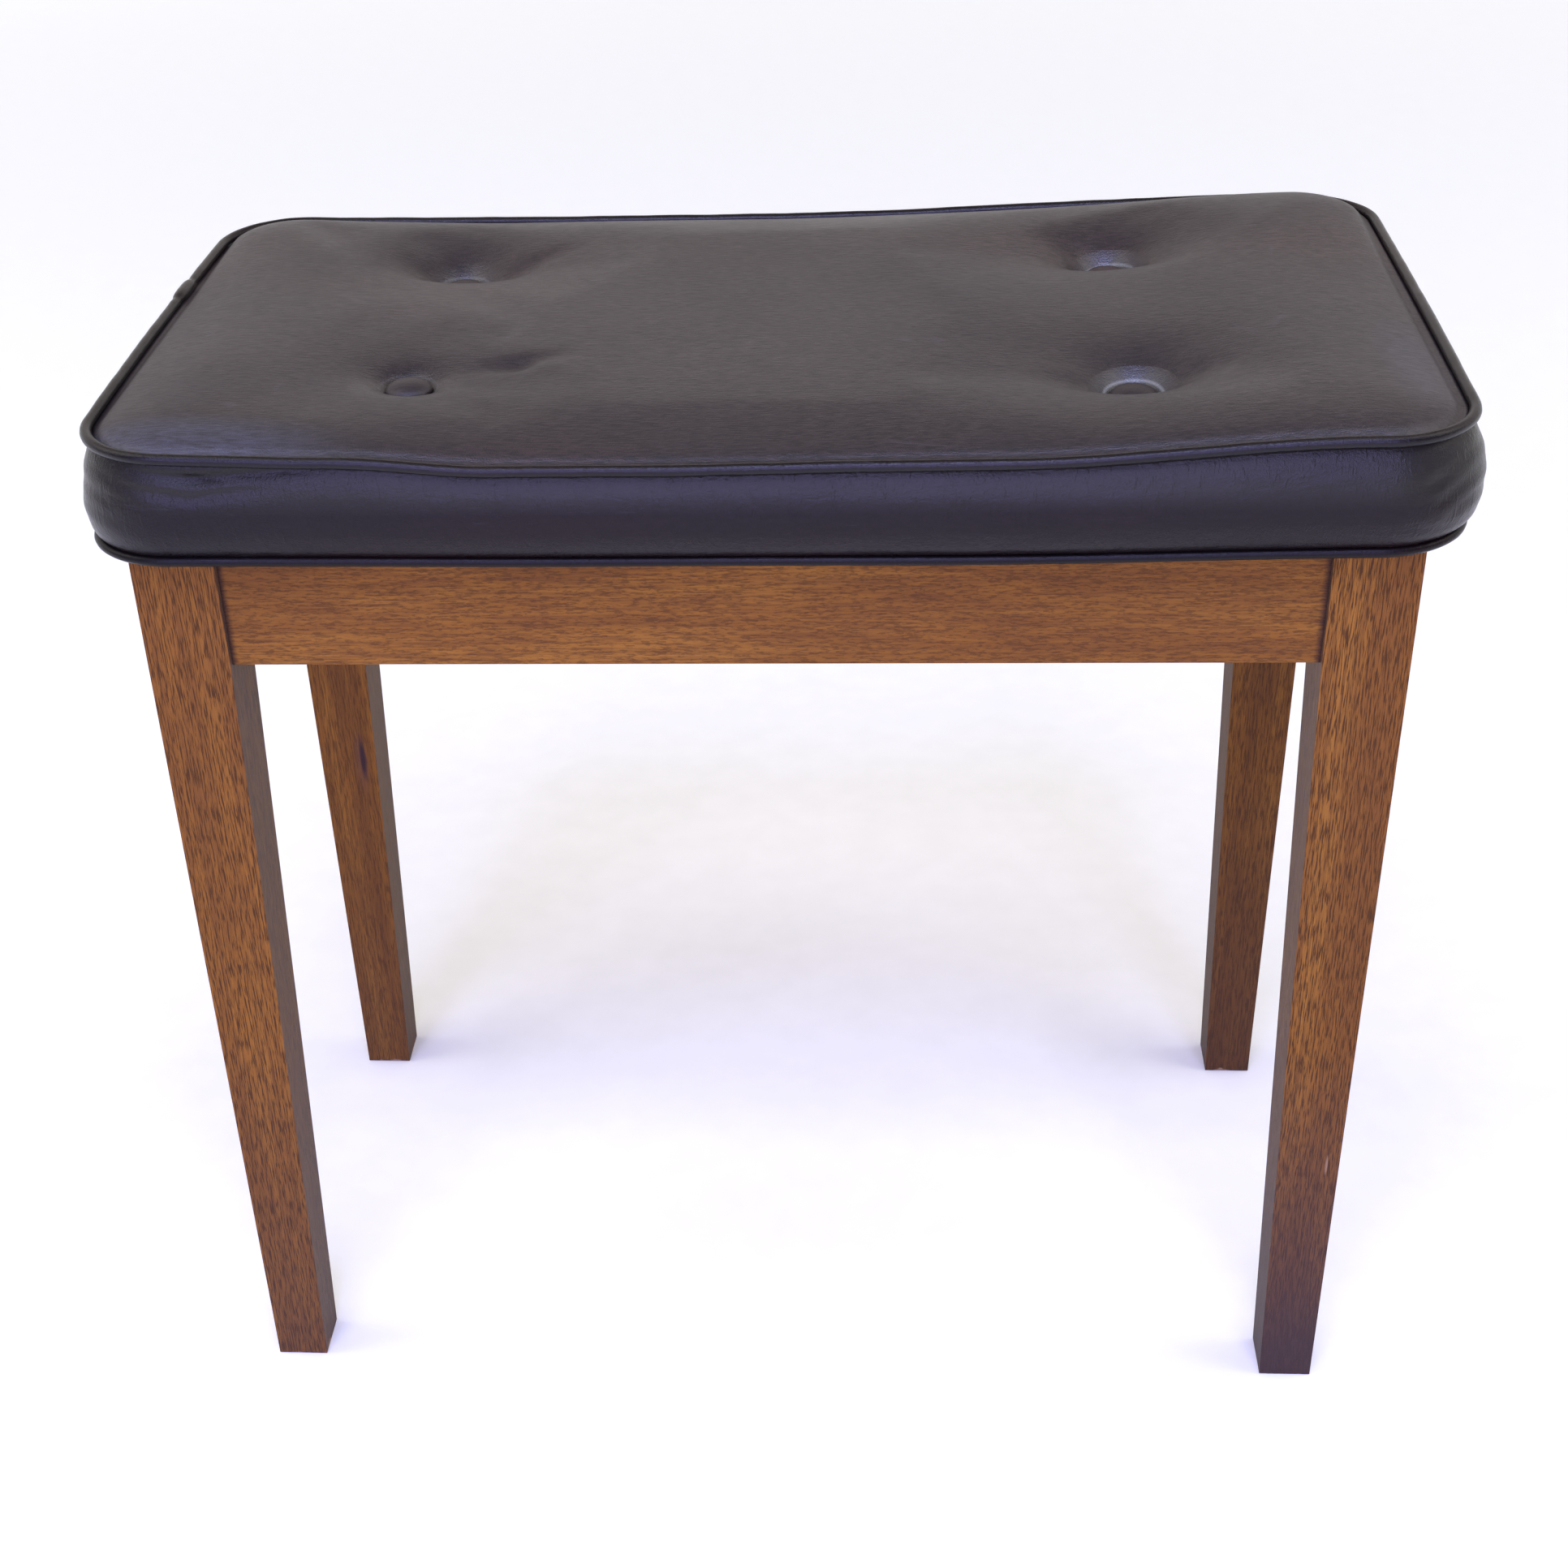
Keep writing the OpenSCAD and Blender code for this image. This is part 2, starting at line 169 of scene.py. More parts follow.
class Shader:
    """A Principled material whose nodes are added by short calls."""

    def __init__(self, name, world=None):
        self.material = world or bpy.data.materials.new(name)
        self.material.use_nodes = True
        self.tree = self.material.node_tree
        self.surface = self.tree.nodes.get("Principled BSDF")

    def add(self, kind, inputs, **settings):
        made = self.tree.nodes.new(kind)
        for key, value in settings.items():
            setattr(made, key, value)
        for key, value in inputs.items():
            self.feed(made.inputs[key], value)
        return made

    def feed(self, socket, value):
        if isinstance(value, bpy.types.NodeSocket):
            self.tree.links.new(value, socket)
        elif isinstance(value, tuple) and len(value) == 3 and socket.type == "RGBA":
            socket.default_value = (*value, 1)
        else:
            socket.default_value = value

    def set(self, name, value):
        self.feed(self.surface.inputs[name], value)

    def place(self, scale, order="XYZ", shift=(0, 0, 0)):
        """Object coordinates, reordered, moved and then scaled."""
        where = self.add("ShaderNodeTexCoord", {}).outputs["Object"]
        parts = self.add("ShaderNodeSeparateXYZ", {0: where}).outputs
        mixed = self.add("ShaderNodeCombineXYZ", {i: parts[axis] for i, axis in enumerate(order)})
        moved = self.add("ShaderNodeVectorMath", {0: mixed.outputs[0], 1: shift}, operation="ADD")
        sized = {0: moved.outputs[0], 1: scale}
        return self.add("ShaderNodeVectorMath", sized, operation="MULTIPLY").outputs[0]

    def noise(self, where, scale, detail=2.0, rough=0.5, bend=0.0):
        inputs = {"Vector": where, "Scale": scale, "Detail": detail, "Roughness": rough, "Distortion": bend}
        return self.add("ShaderNodeTexNoise", inputs).outputs["Fac"]

    def cells(self, where, scale):
        return self.add("ShaderNodeTexVoronoi", {"Vector": where, "Scale": scale}).outputs["Distance"]

    def ramp(self, value, stops):
        made = self.add("ShaderNodeValToRGB", {0: value})
        slots = made.color_ramp.elements
        while len(slots) < len(stops):
            slots.new(0.5)
        for slot, (at, colour) in zip(slots, stops):
            slot.position = at
            slot.color = (*colour, 1) if isinstance(colour, tuple) else (colour, colour, colour, 1)
        return made.outputs["Color"]

    def mix(self, amount, low, high):
        made = self.add("ShaderNodeMix", {}, data_type="RGBA")
        self.feed(made.inputs[0], amount)
        self.feed(made.inputs[6], low)
        self.feed(made.inputs[7], high)
        return made.outputs[2]

    def math(self, operation, a, b=0.0):
        return self.add("ShaderNodeMath", {0: a, 1: b}, operation=operation).outputs[0]

    def spread(self, value, low, high, source=(0.0, 1.0)):
        """value, clamped to source, spread between low and high."""
        ends = {"From Min": source[0], "From Max": source[1], "To Min": low, "To Max": high}
        return self.add("ShaderNodeMapRange", {"Value": value, **ends}).outputs[0]

    def spot(self, centre, radii):
        """1 inside an ellipsoid at centre, fading to 0 at its edge."""
        where = self.add("ShaderNodeTexCoord", {}).outputs["Object"]
        away = self.add("ShaderNodeVectorMath", {0: where, 1: centre}, operation="SUBTRACT").outputs[0]
        sized = self.add("ShaderNodeVectorMath", {0: away, 1: radii}, operation="DIVIDE").outputs[0]
        length = self.add("ShaderNodeVectorMath", {0: sized}, operation="LENGTH").outputs["Value"]
        return self.spread(length, 1.0, 0.0, (0.45, 1.0))

    def far(self, x, y):
        """Distance from the upright line through x and y."""
        where = self.add("ShaderNodeTexCoord", {}).outputs["Object"]
        flat = self.add("ShaderNodeVectorMath", {0: where, 1: (1, 1, 0)}, operation="MULTIPLY").outputs[0]
        away = self.add("ShaderNodeVectorMath", {0: flat, 1: (x, y, 0)}, operation="DISTANCE")
        return away.outputs["Value"]

    def along(self, axis, kind="Object"):
        """One coordinate of the object, or of its normal."""
        where = self.add("ShaderNodeTexCoord", {}).outputs[kind]
        return self.add("ShaderNodeSeparateXYZ", {0: where}).outputs[axis]

    def gap(self, value, at):
        """How far value is from at, whichever side it is on."""
        return self.math("ABSOLUTE", self.math("SUBTRACT", value, at))

    def bump(self, height, depth, under=None):
        inputs = {"Height": height, "Distance": depth, "Strength": 1.0}
        if under is not None:
            inputs["Normal"] = under
        return self.add("ShaderNodeBump", inputs).outputs["Normal"]


def toned(colour, tone):
    return tuple(c * tone for c in colour)


JOINT_PAINTED_SHADE = (0.020, 0.010, 0.008)
JOINT_SPAN = (3.2 * MM, 0.6 * MM)
FOOT_DARK = (0.050, 0.030, 0.028)
INNER_SIDE_PAINTED_SHEEN = (0.092, 0.072, 0.058)
FRAYED = (0.30, 0.19, 0.115)


def aged_and_sheened_leg(s, colour, stain, foot_darkening, inner):
    """Darkens a leg towards its foot, paints a grey sheen of reflected sky on its inner side, and frays its
    bottom edge.
    """
    height = s.along("Z")
    uneven = s.math("ADD", height, s.spread(stain, -0.03, 0.03))
    colour = s.mix(s.spread(uneven, foot_darkening, 0.0, (0.02, 0.21)), colour, FOOT_DARK)
    # painted reflection: the inner side faces are greyed, standing for the pale sky mirrored at a grazing
    # angle
    side = s.math("MULTIPLY", s.along("X", "Normal"), inner)
    colour = s.mix(s.spread(side, 0.0, 0.55, (0.5, 0.8)), colour, INNER_SIDE_PAINTED_SHEEN)
    chip = s.math("ADD", height, s.spread(s.noise(s.place((90, 90, 160)), 1), -6 * MM, 8 * MM))
    return s.mix(s.spread(chip, 0.8, 0.0, (0.0, 1.0 * MM)), colour, FRAYED)


def stained_beech(name, order, shift, tone, flecks, joint=None, foot_darkening=0.0, inner=0, flaws=(), short=1.0):
    """Beech under a brown stain: streaks, fine fibres and the short dark flecks of the rays."""
    s = Shader(name)
    figure = s.noise(s.place((2.0 * short, 48, 48), order, shift), 1, detail=4, rough=0.6, bend=0.5)
    fibre = s.noise(s.place((14 * short, 900, 900), order, shift), 1, detail=3, rough=0.6)
    fleck = s.noise(s.place((95 * short, 1500, 1500), order, shift), 1, detail=2.5, rough=0.6, bend=0.1)
    stain = s.noise(s.place((6, 14, 14), order, shift), 1, detail=3)

    dark = toned((0.158, 0.058, 0.0115), tone)
    middle = toned((0.262, 0.101, 0.0140), tone)
    light = toned((0.340, 0.143, 0.0205), tone)
    colour = s.ramp(figure, [(0.30, dark), (0.48, middle), (0.70, light)])
    colour = s.mix(s.ramp(stain, [(0.42, 0.0), (0.72, 0.55)]), colour, dark)
    colour = s.mix(s.ramp(fibre, [(0.36, 0.8), (0.58, 0.0)]), colour, dark)
    vein = s.noise(s.place((2.5 * short, 230, 230), order, shift), 1, detail=2, rough=0.6)
    colour = s.mix(s.ramp(vein, [(0.58, 0.0), (0.66, 0.35)]), colour, light)
    marks = s.ramp(fleck, [(0.49, 0.0), (0.60, 0.9 * flecks)])
    colour = s.mix(marks, colour, toned((0.073, 0.027, 0.0060), tone))
    # painted shade: the apron darkens just short of its ends, where it sits back from the legs
    if joint:
        axis, at = joint
        near = s.spread(s.gap(s.along(axis), 0.0), 0.0, 0.85, (at - JOINT_SPAN[0], at - JOINT_SPAN[1]))
        colour = s.mix(near, colour, JOINT_PAINTED_SHADE)
    if foot_darkening:
        colour = aged_and_sheened_leg(s, colour, stain, foot_darkening, inner)
    for centre, radii, tint, amount in flaws:
        colour = s.mix(s.math("MULTIPLY", s.spot(centre, radii), amount), colour, tint)
    s.set("Base Color", colour)
    s.set("Roughness", s.spread(fibre, 0.50, 0.70))
    s.set("Specular IOR Level", 0.14)
    normal = s.bump(fibre, 0.12 * MM)
    normal = s.bump(s.math("SUBTRACT", 1.0, marks), 0.16 * MM, normal)
    s.set("Normal", normal)
    return s.material


def raw_beech(name, order, shift):
    s = Shader(name)
    figure = s.noise(s.place((5, 55, 55), order, shift), 1, detail=3, bend=0.5)
    fibre = s.noise(s.place((25, 900, 900), order, shift), 1, detail=3, rough=0.6)
    fleck = s.noise(s.place((200, 1000, 1000), order, shift), 1, detail=1)
    colour = s.ramp(figure, [(0.3, (0.40, 0.25, 0.135)), (0.7, (0.52, 0.345, 0.20))])
    colour = s.mix(s.ramp(fleck, [(0.58, 0.0), (0.68, 0.7)]), colour, (0.24, 0.13, 0.065))
    s.set("Base Color", colour)
    s.set("Roughness", s.spread(fibre, 0.62, 0.80))
    s.set("Normal", s.bump(fibre, 0.25 * MM))
    return s.material


def plywood(name):
    """Rotary-cut veneer: wide wavy figure on the faces."""
    s = Shader(name)
    figure = s.noise(s.place((2.5, 22, 22)), 1, detail=4, bend=1.4)
    fibre = s.noise(s.place((22, 700, 700)), 1, detail=3, rough=0.6)
    veneer = [(0.35, (0.40, 0.255, 0.135)), (0.5, (0.50, 0.335, 0.19)), (0.66, (0.43, 0.28, 0.15))]
    colour = s.ramp(figure, veneer)
    colour = s.mix(s.ramp(fibre, [(0.42, 0.35), (0.6, 0.0)]), colour, (0.25, 0.145, 0.075))
    s.set("Base Color", colour)
    s.set("Roughness", s.spread(fibre, 0.60, 0.78))
    s.set("Normal", s.bump(fibre, 0.0002))
    return s.material


RUBBED_TOP_HIGHLIGHT = (0.036, 0.038, 0.052)
RUBBED_SIDE_HIGHLIGHT = (0.021, 0.0195, 0.0145)
SCRATCH = (0.075, 0.070, 0.080)
BUTTON_PAINTED_HALO = (0.052, 0.058, 0.056)
BUTTON_RIM_PAINTED_HIGHLIGHT = (0.125, 0.135, 0.120)
GROOVE_PAINTED_SHADOW = (0.002, 0.002, 0.002)
RIM_R = 12.4 * MM
GROOVE_R = 10.6 * MM
ROLLED = 2.0 * MM


def ringed(s, colour, away, rim):
    """Painted highlights on the vinyl round a button, a pale halo and a bright rim, and a painted shadow in
    the dark groove beside the button.
    """
    colour = s.mix(s.spread(away, 0.55 * rim, 0.0, (11 * MM, 19 * MM)), colour, BUTTON_PAINTED_HALO)
    colour = s.mix(s.spread(s.gap(away, RIM_R), rim, 0.0, (0.1 * MM, 0.9 * MM)), colour, BUTTON_RIM_PAINTED_HIGHLIGHT)
    return s.mix(s.spread(s.gap(away, GROOVE_R), 0.9, 0.0, (0.3 * MM, 1.2 * MM)), colour, GROOVE_PAINTED_SHADOW)


def vinyl_colour(s, cloud, lines, tone, weave, rubbed_highlight_band, rub_highlights, grooves):
    """Clouded brown-black with darker pressed lines and scratches, rubbed patches and a band with a painted
    highlight, and a painted highlight and shadow round each button.
    """
    patch = s.noise(s.place((5, 8, 8), shift=(3, 1, 0)), 1, detail=2)
    hair = s.noise(s.place((30, 30, 650), shift=(0, 0, 5)), 1, detail=2, bend=1.5)
    dark, light = toned((0.0170, 0.0125, 0.0130), tone), toned((0.0250, 0.0180, 0.0170), tone)
    colour = s.ramp(cloud, [(0.3, dark), (0.7, light)])
    reddish = toned((0.0340, 0.0160, 0.0135), tone)
    colour = s.mix(s.ramp(patch, [(0.50, 0.0), (0.72, 0.6)]), colour, reddish)
    colour = s.mix(s.ramp(lines, [(0.38, 0.95 * weave), (0.60, 0.0)]), colour, (0.006, 0.0045, 0.005))
    # painted highlight: rubbed patches of the top are lightened and blued where the top rolls towards the
    # front light
    for centre, radii, amount in rub_highlights:
        streaks = s.spread(lines, 0.4 * amount, 1.3 * amount, (0.35, 0.65))
        colour = s.mix(s.math("MULTIPLY", s.spot(centre, radii), streaks), colour, RUBBED_TOP_HIGHLIGHT)
    # painted highlight round each dimple's rim, and painted shadow in the groove beside each button
    for x, y, rim in grooves:
        colour = ringed(s, colour, s.far(x, y), rim)
    colour = s.mix(s.ramp(hair, [(0.70, 0.0), (0.76, 0.14)]), colour, SCRATCH)
    # painted highlight: the upper part of the side band is painted lighter, made patchy like rubbed vinyl
    if rubbed_highlight_band:
        band = s.spread(s.along("Z"), 0.0, 1.0, rubbed_highlight_band)
        band = s.math("MULTIPLY", band, s.spread(patch, 0.5, 1.3, (0.3, 0.7)))
        colour = s.mix(band, colour, RUBBED_SIDE_HIGHLIGHT)
    return colour


def vinyl_normal(s, lines, weave, crush, grooves):
    """Pressed grain, the rolled vinyl round each button, and the side's finest crushed lines."""
    normal = s.bump(s.cells(s.place((1, 1, 1)), 1500), 0.07 * MM)
    normal = s.bump(s.noise(s.place((1, 1, 1)), 2600, detail=2), 0.09 * MM, normal)
    normal = s.bump(lines, (0.03 + 0.13 * weave) * MM, normal)
    for x, y, rim in grooves:
        normal = s.bump(s.spread(s.far(x, y), 0.0, 1.0, (10 * MM, 19 * MM)), ROLLED * rim, normal)
    if crush:
        fold = s.noise(s.place((34, 34, 70), shift=(2, 0, 0)), 1, detail=3, rough=0.55, bend=0.3)
        upright = s.noise(s.place((420, 420, 70), shift=(0, 4, 0)), 1, detail=2, rough=0.6)
        normal = s.bump(s.gap(fold, 0.5), 2.2 * MM * crush, normal)
        normal = s.bump(s.ramp(upright, [(0.52, 0.0), (0.70, 1.0)]), 0.30 * MM * crush, normal)
    return normal


def leatherette(name, tone, gloss=0.0, weave=1.0, shine=0.5, crush=0.0, rubbed_highlight_band=None, rub_highlights=(), grooves=()):
    """Brown-black vinyl. Takes a band of heights and patches, both rubbed and painted lighter as
    highlights, and the buttons, each with a painted highlight and a painted shadow round its dimple.
    """
    s = Shader(name)
    cloud = s.noise(s.place((9, 9, 9)), 1, detail=3)
    lines = s.noise(s.place((170, 1300, 600)), 1, detail=2, rough=0.6)
    s.set("Base Color", vinyl_colour(s, cloud, lines, tone, weave, rubbed_highlight_band, rub_highlights, grooves))
    wear = s.math("ADD", cloud, s.math("MULTIPLY", s.math("SUBTRACT", lines, 0.5), 1.2 * weave))
    rough = s.spread(wear, 0.49 - gloss, 0.33 - gloss)
    for x, y, _ in grooves:
        rough = s.math("SUBTRACT", rough, s.spread(s.far(x, y), 0.14, 0.0, (13 * MM, 27 * MM)))
    s.set("Roughness", rough)
    s.set("Specular IOR Level", shine)
    s.set("Normal", vinyl_normal(s, lines, weave, crush, grooves))
    return s.material


def foam_material(name):
    s = Shader(name)
    pores = s.cells(s.place((1, 1, 1)), 900)
    cloud = s.noise(s.place((12, 12, 12)), 1, detail=2)
    colour = s.ramp(cloud, [(0.3, (0.66, 0.55, 0.30)), (0.7, (0.76, 0.67, 0.42))])
    s.set("Base Color", s.mix(s.ramp(pores, [(0.1, 0.6), (0.4, 0.0)]), colour, (0.45, 0.36, 0.18)))
    s.set("Roughness", s.spread(pores, 0.85, 0.95))
    s.set("Normal", s.bump(pores, 0.6 * MM))
    return s.material


def steel(name):
    s = Shader(name)
    brushed = s.noise(s.place((900, 900, 120)), 1, detail=3)
    tarnish = s.noise(s.place((160, 160, 160)), 1, detail=3)
    s.set("Base Color", s.ramp(tarnish, [(0.35, (0.42, 0.41, 0.39)), (0.65, (0.60, 0.60, 0.60))]))
    s.set("Metallic", 1.0)
    s.set("Roughness", s.spread(brushed, 0.28, 0.48))
    s.set("Normal", s.bump(brushed, 0.04 * MM))
    return s.material


def waxed_twine(name):
    s = Shader(name)
    strand = s.noise(s.place((900, 900, 300)), 1, detail=3)
    s.set("Base Color", s.ramp(strand, [(0.35, (0.40, 0.33, 0.22)), (0.65, (0.62, 0.55, 0.40))]))
    s.set("Roughness", s.spread(strand, 0.55, 0.75))
    s.set("Normal", s.bump(strand, 0.1 * MM))
    return s.material


# ---------------------------------------------------------------- wooden frame and hardware

EASED_EDGE = 1.1 * MM
EASED_BOARD = 0.4 * MM
SHARP = math.radians(40)
ALONG = {"X": "XYZ", "Y": "YXZ", "Z": "ZXY"}


def dress(node, material, ease=0.0):
    """Gives a CAD node its material, and eases its sharp edges."""
    thing = frame["nodes"][node]
    thing.data.materials.clear()
    thing.data.materials.append(material)
    if ease:
        weld = thing.modifiers.new("weld", "WELD")
        weld.merge_threshold = 0.01 * MM
        bevel = thing.modifiers.new("eased_edges", "BEVEL")
        bevel.width = ease
        bevel.segments = 2
        bevel.limit_method = "ANGLE"
        bevel.angle_limit = SHARP
        bevel.harden_normals = True


KNOT = (0.030, 0.014, 0.016)
KNOT_RING = (0.110, 0.045, 0.022)
BARE = (0.42, 0.27, 0.16)
FLAWS = {
    "leg_front_left": [((-0.2325, -0.136, 0.040), (1.2 * MM, 3 * MM, 2.5 * MM), BARE, 0.8)],
    "leg_front_right": [((0.2590, -0.136, 0.138), (0.7 * MM, 3 * MM, 7 * MM), BARE, 0.5)],
    "leg_back_left": [
        ((-0.2425, 0.104, 0.216), (5 * MM, 8 * MM, 24 * MM), KNOT_RING, 0.6),
        ((-0.2415, 0.104, 0.218), (2.2 * MM, 6 * MM, 17 * MM), KNOT, 0.95),
    ],
}

# Each leg: where its grain is cut from, its tone, its flecks and how much darker it grows towards its foot
LEGS = {
    "leg_front_left": ((0.00, 0.31, 0.07), 0.87, 1.1, 0.40),
    "leg_front_right": ((0.47, 0.13, 0.29), 0.88, 1.1, 0.98),
    "leg_back_left": ((0.91, 0.52, 0.83), 0.76, 0.7, 0.25),
    "leg_back_right": ((1.37, 0.77, 0.41), 0.60, 0.8, 0.35),
}


def dress_frame():
    apron_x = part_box("front_apron")[1][0]
    apron_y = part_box("left_apron")[1][1]
    for node, (shift, tone, flecks, foot_darkening) in LEGS.items():
        leg_age_and_sheen = {"foot_darkening": foot_darkening, "inner": 1 if "left" in node else -1, "flaws": FLAWS.get(node, ())}
        dress(node, stained_beech(f"beech_{node}", ALONG["Z"], shift, tone, flecks, **leg_age_and_sheen), EASED_EDGE)
    aprons = {
        "front_apron": ("X", (0.11, 0.63, 0.19), 0.775, apron_x),
        "back_apron": ("X", (0.73, 0.22, 0.57), 0.88, apron_x),
        "left_apron": ("Y", (0.29, 0.94, 0.36), 0.88, apron_y),
        "right_apron": ("Y", (0.53, 0.41, 0.68), 0.88, apron_y),
    }
    for node, (axis, shift, tone, end) in aprons.items():
        wood = stained_beech(f"beech_{node}", ALONG[axis], shift, tone, 0.6, (axis, end), short=3.0)
        dress(node, wood, EASED_EDGE)
    blocks = [n for n in frame["nodes"] if n.startswith("corner_block") and "screws" not in n]
    for i, node in enumerate(blocks):
        dress(node, raw_beech(f"raw_{node}", ALONG["X"], (0.2 * i, 0.1, 0.3)))
    dress("apron_dowels", raw_beech("raw_dowels", ALONG["X"], (0, 0, 0)))
    dress("seat_board", plywood("plywood"), EASED_BOARD)
    metal = steel("zinc_steel")
    for node in ("corner_block_screws", "seat_fixing_screws", "cover_staples", "button_washers"):
        dress(node, metal)


# ---------------------------------------------------------------- shape of the cushion

top_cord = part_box("top_piping")
foot_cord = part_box("bottom_piping")
CORD_R = (top_cord[1][2] - top_cord[0][2]) / 2
FOOT_CORD_R = (foot_cord[1][2] - foot_cord[0][2]) / 2
SEAM_Z = (top_cord[1][2] + top_cord[0][2]) / 2
FOOT_Z = (foot_cord[1][2] + foot_cord[0][2]) / 2
BOARD_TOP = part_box("seat_board")[1][2]

# The padded top seam, against the drawn one: in at the sides, out at the front and back
CORD_OUT = 0.5 * MM
HALF_W = top_cord[1][0] - CORD_R - CORD_OUT - 1.0 * MM
HALF_D = top_cord[1][1] - CORD_R - CORD_OUT + 0.8 * MM
CORNER_R = 38 * MM
BOW_LEFT, BOW_RIGHT = 2.3 * MM, 1.2 * MM
BOW_D = 2.0 * MM
SET_RIGHT = 0.6 * MM
SHARE_W = (foot_cord[1][0] - FOOT_CORD_R + 5.0 * MM) / HALF_W
SHARE_D = (foot_cord[1][1] - FOOT_CORD_R + 0.2 * MM) / HALF_D

CELL = 4 * MM
BOXING_ROWS = 12
PANEL_EDGE_IN = 1.7 * MM
PANEL_EDGE_DOWN = 0.6 * MM
BOXING_HEAD_IN = 2.4 * MM
BOXING_HEAD_DOWN = 2.2 * MM
BOXING_FOOT_IN = 1.2 * MM
BOXING_BULGE = 7.4 * MM
CROWN = 6.8 * MM
SHOULDER = 13 * MM

# Each button: its place, the height of its seat, the reach of its dimple in millimetres in front, behind
# and sideways, and how strong the painted highlight and the rolled bump on the rim of its dimple are
BUTTONS = {
    name: {"at": at, "z": z * MM, "front": front, "behind": behind, "side": side, "rim": rim}
    for name, at, z, front, behind, side, rim in (
        ("front_left", (-0.152, -0.074), 504.6, 9, 13, 13, 0.1),
        ("front_right", (0.152, -0.074), 498.5, 14, 27, 23, 1.0),
        ("back_left", (-0.152, 0.074), 496.0, 11, 24, 20, 0.3),
        ("back_right", (0.152, 0.074), 498.0, 13, 24, 21, 0.8),
    )
}
BUTTON_PINNED = 9 * MM
BUTTON_FLAT = 9.5 * MM
COLLAR = 0.5

# Reach and power of a dimple: its wide bowl, its steep collar, and the collar pressed into the foam
WIDE_BOWL = (1.35, 1.3)
STEEP_COLLAR = (0.42, 1.0)
FOAM_COLLAR = (0.8, 1.3)

# Creases of the top: start, end, depth and half width
TOP_CREASES = (
    ((-0.104, -0.060), (-0.132, -0.062), 3.0 * MM, 6 * MM),
    ((-0.108, -0.058), (-0.078, -0.048), 1.6 * MM, 5 * MM),
    ((-0.140, 0.066), (-0.085, 0.108), 3.0 * MM, 8 * MM),
    ((-0.160, 0.070), (-0.205, 0.095), 1.6 * MM, 9 * MM),
    ((0.148, 0.078), (0.108, 0.112), 2.6 * MM, 9 * MM),
    ((0.160, 0.066), (0.200, 0.052), 1.6 * MM, 8 * MM),
    ((0.140, -0.076), (0.100, -0.078), 2.0 * MM, 9 * MM),
    ((0.164, -0.074), (0.200, -0.072), 2.0 * MM, 9 * MM),
)

# Rubbed patches of the top, painted lighter and bluer as a highlight where the top rolls down, as centre,
# radii and amount
TOP_RUB_HIGHLIGHTS = (
    ((-0.236, -0.139, SEAM_Z), (0.075, 0.022, 0.03), 0.72),
    ((0.262, -0.080, SEAM_Z), (0.016, 0.060, 0.03), 0.35),
)

# Creases of the front boxing, as (x, z) from start to end, with depth and half width
BOXING_CREASES = (
    ((-0.224, 0.4990), (-0.270, 0.5035), 2.4 * MM, 1.9 * MM),
    ((-0.228, 0.4992), (-0.160, 0.5045), 2.6 * MM, 1.9 * MM),
    ((-0.231, 0.4925), (-0.274, 0.4985), 1.7 * MM, 2.1 * MM),
    ((-0.226, 0.4925), (-0.186, 0.4975), 1.7 * MM, 2.1 * MM),
    ((0.260, 0.4935), (0.283, 0.5025), 0.9 * MM, 2.3 * MM),
    ((0.264, 0.4860), (0.284, 0.4935), 0.8 * MM, 2.4 * MM),
    ((0.268, 0.4780), (0.284, 0.4840), 0.6 * MM, 2.4 * MM),
)


def smooth(low, high, x):
    t = np.clip((x - low) / (high - low), 0, 1)
    return t * t * (3 - 2 * t)


def rounded(x, y):
    """Moves points of a rectangle's corner squares onto round corners."""
    flat_x, flat_y = HALF_W - CORNER_R, HALF_D - CORNER_R
    u = np.clip((np.abs(x) - flat_x) / CORNER_R, 0, 1)
    v = np.clip((np.abs(y) - flat_y) / CORNER_R, 0, 1)
    in_corner = (u > 0) & (v > 0)
    round_x = np.sign(x) * (flat_x + CORNER_R * u * np.sqrt(1 - v * v / 2))
    round_y = np.sign(y) * (flat_y + CORNER_R * v * np.sqrt(1 - u * u / 2))
    return np.where(in_corner, round_x, x), np.where(in_corner, round_y, y)


def bowed(x, y):
    """Bows the outline, so that its sides swell towards their middles."""
    u, v = x / HALF_W, y / HALF_D
    return x - np.where(u < 0, BOW_LEFT, BOW_RIGHT) * u * v**2 + SET_RIGHT, y - BOW_D * v * u**2


def seam_distance(x, y):
    """Distance from a point inside the seam to the seam."""
    dx = np.abs(x) - (HALF_W - CORNER_R)
    dy = np.abs(y) - (HALF_D - CORNER_R)
    outside = np.hypot(np.maximum(dx, 0), np.maximum(dy, 0)) + np.minimum(np.maximum(dx, dy), 0)
    return np.maximum(CORNER_R - outside, 0)


def outward(x, y):
    """Unit outward direction at a point of the seam."""
    dx = np.sign(x) * np.maximum(np.abs(x) - (HALF_W - CORNER_R), 0)
    dy = np.sign(y) * np.maximum(np.abs(y) - (HALF_D - CORNER_R), 0)
    size = np.maximum(np.hypot(dx, dy), 1e-9)
    return dx / size, dy / size


def seam_lift(x, y):
    """How far the top seam stands above its plane: slack in the middle of the front, high on the right."""
    u, v = x / HALF_W, y / HALF_D
    left = 4.1 * smooth(0.38, 0.62, -u) + 2.4 * smooth(0.6, 1.0, -u)
    right = 1.4 * smooth(-0.2, 0.3, u) + 7.4 * smooth(0.35, 0.85, u)
    front = left + right - 2.8
    back = np.where(u < 0, 2.8 * u**2 + 0.8 * smooth(0.75, 1.0, -u), 6.4 * smooth(-0.05, 0.95, u)) - 1.2
    nearness = (1 - v) / 2
    return MM * (front * nearness + back * (1 - nearness))


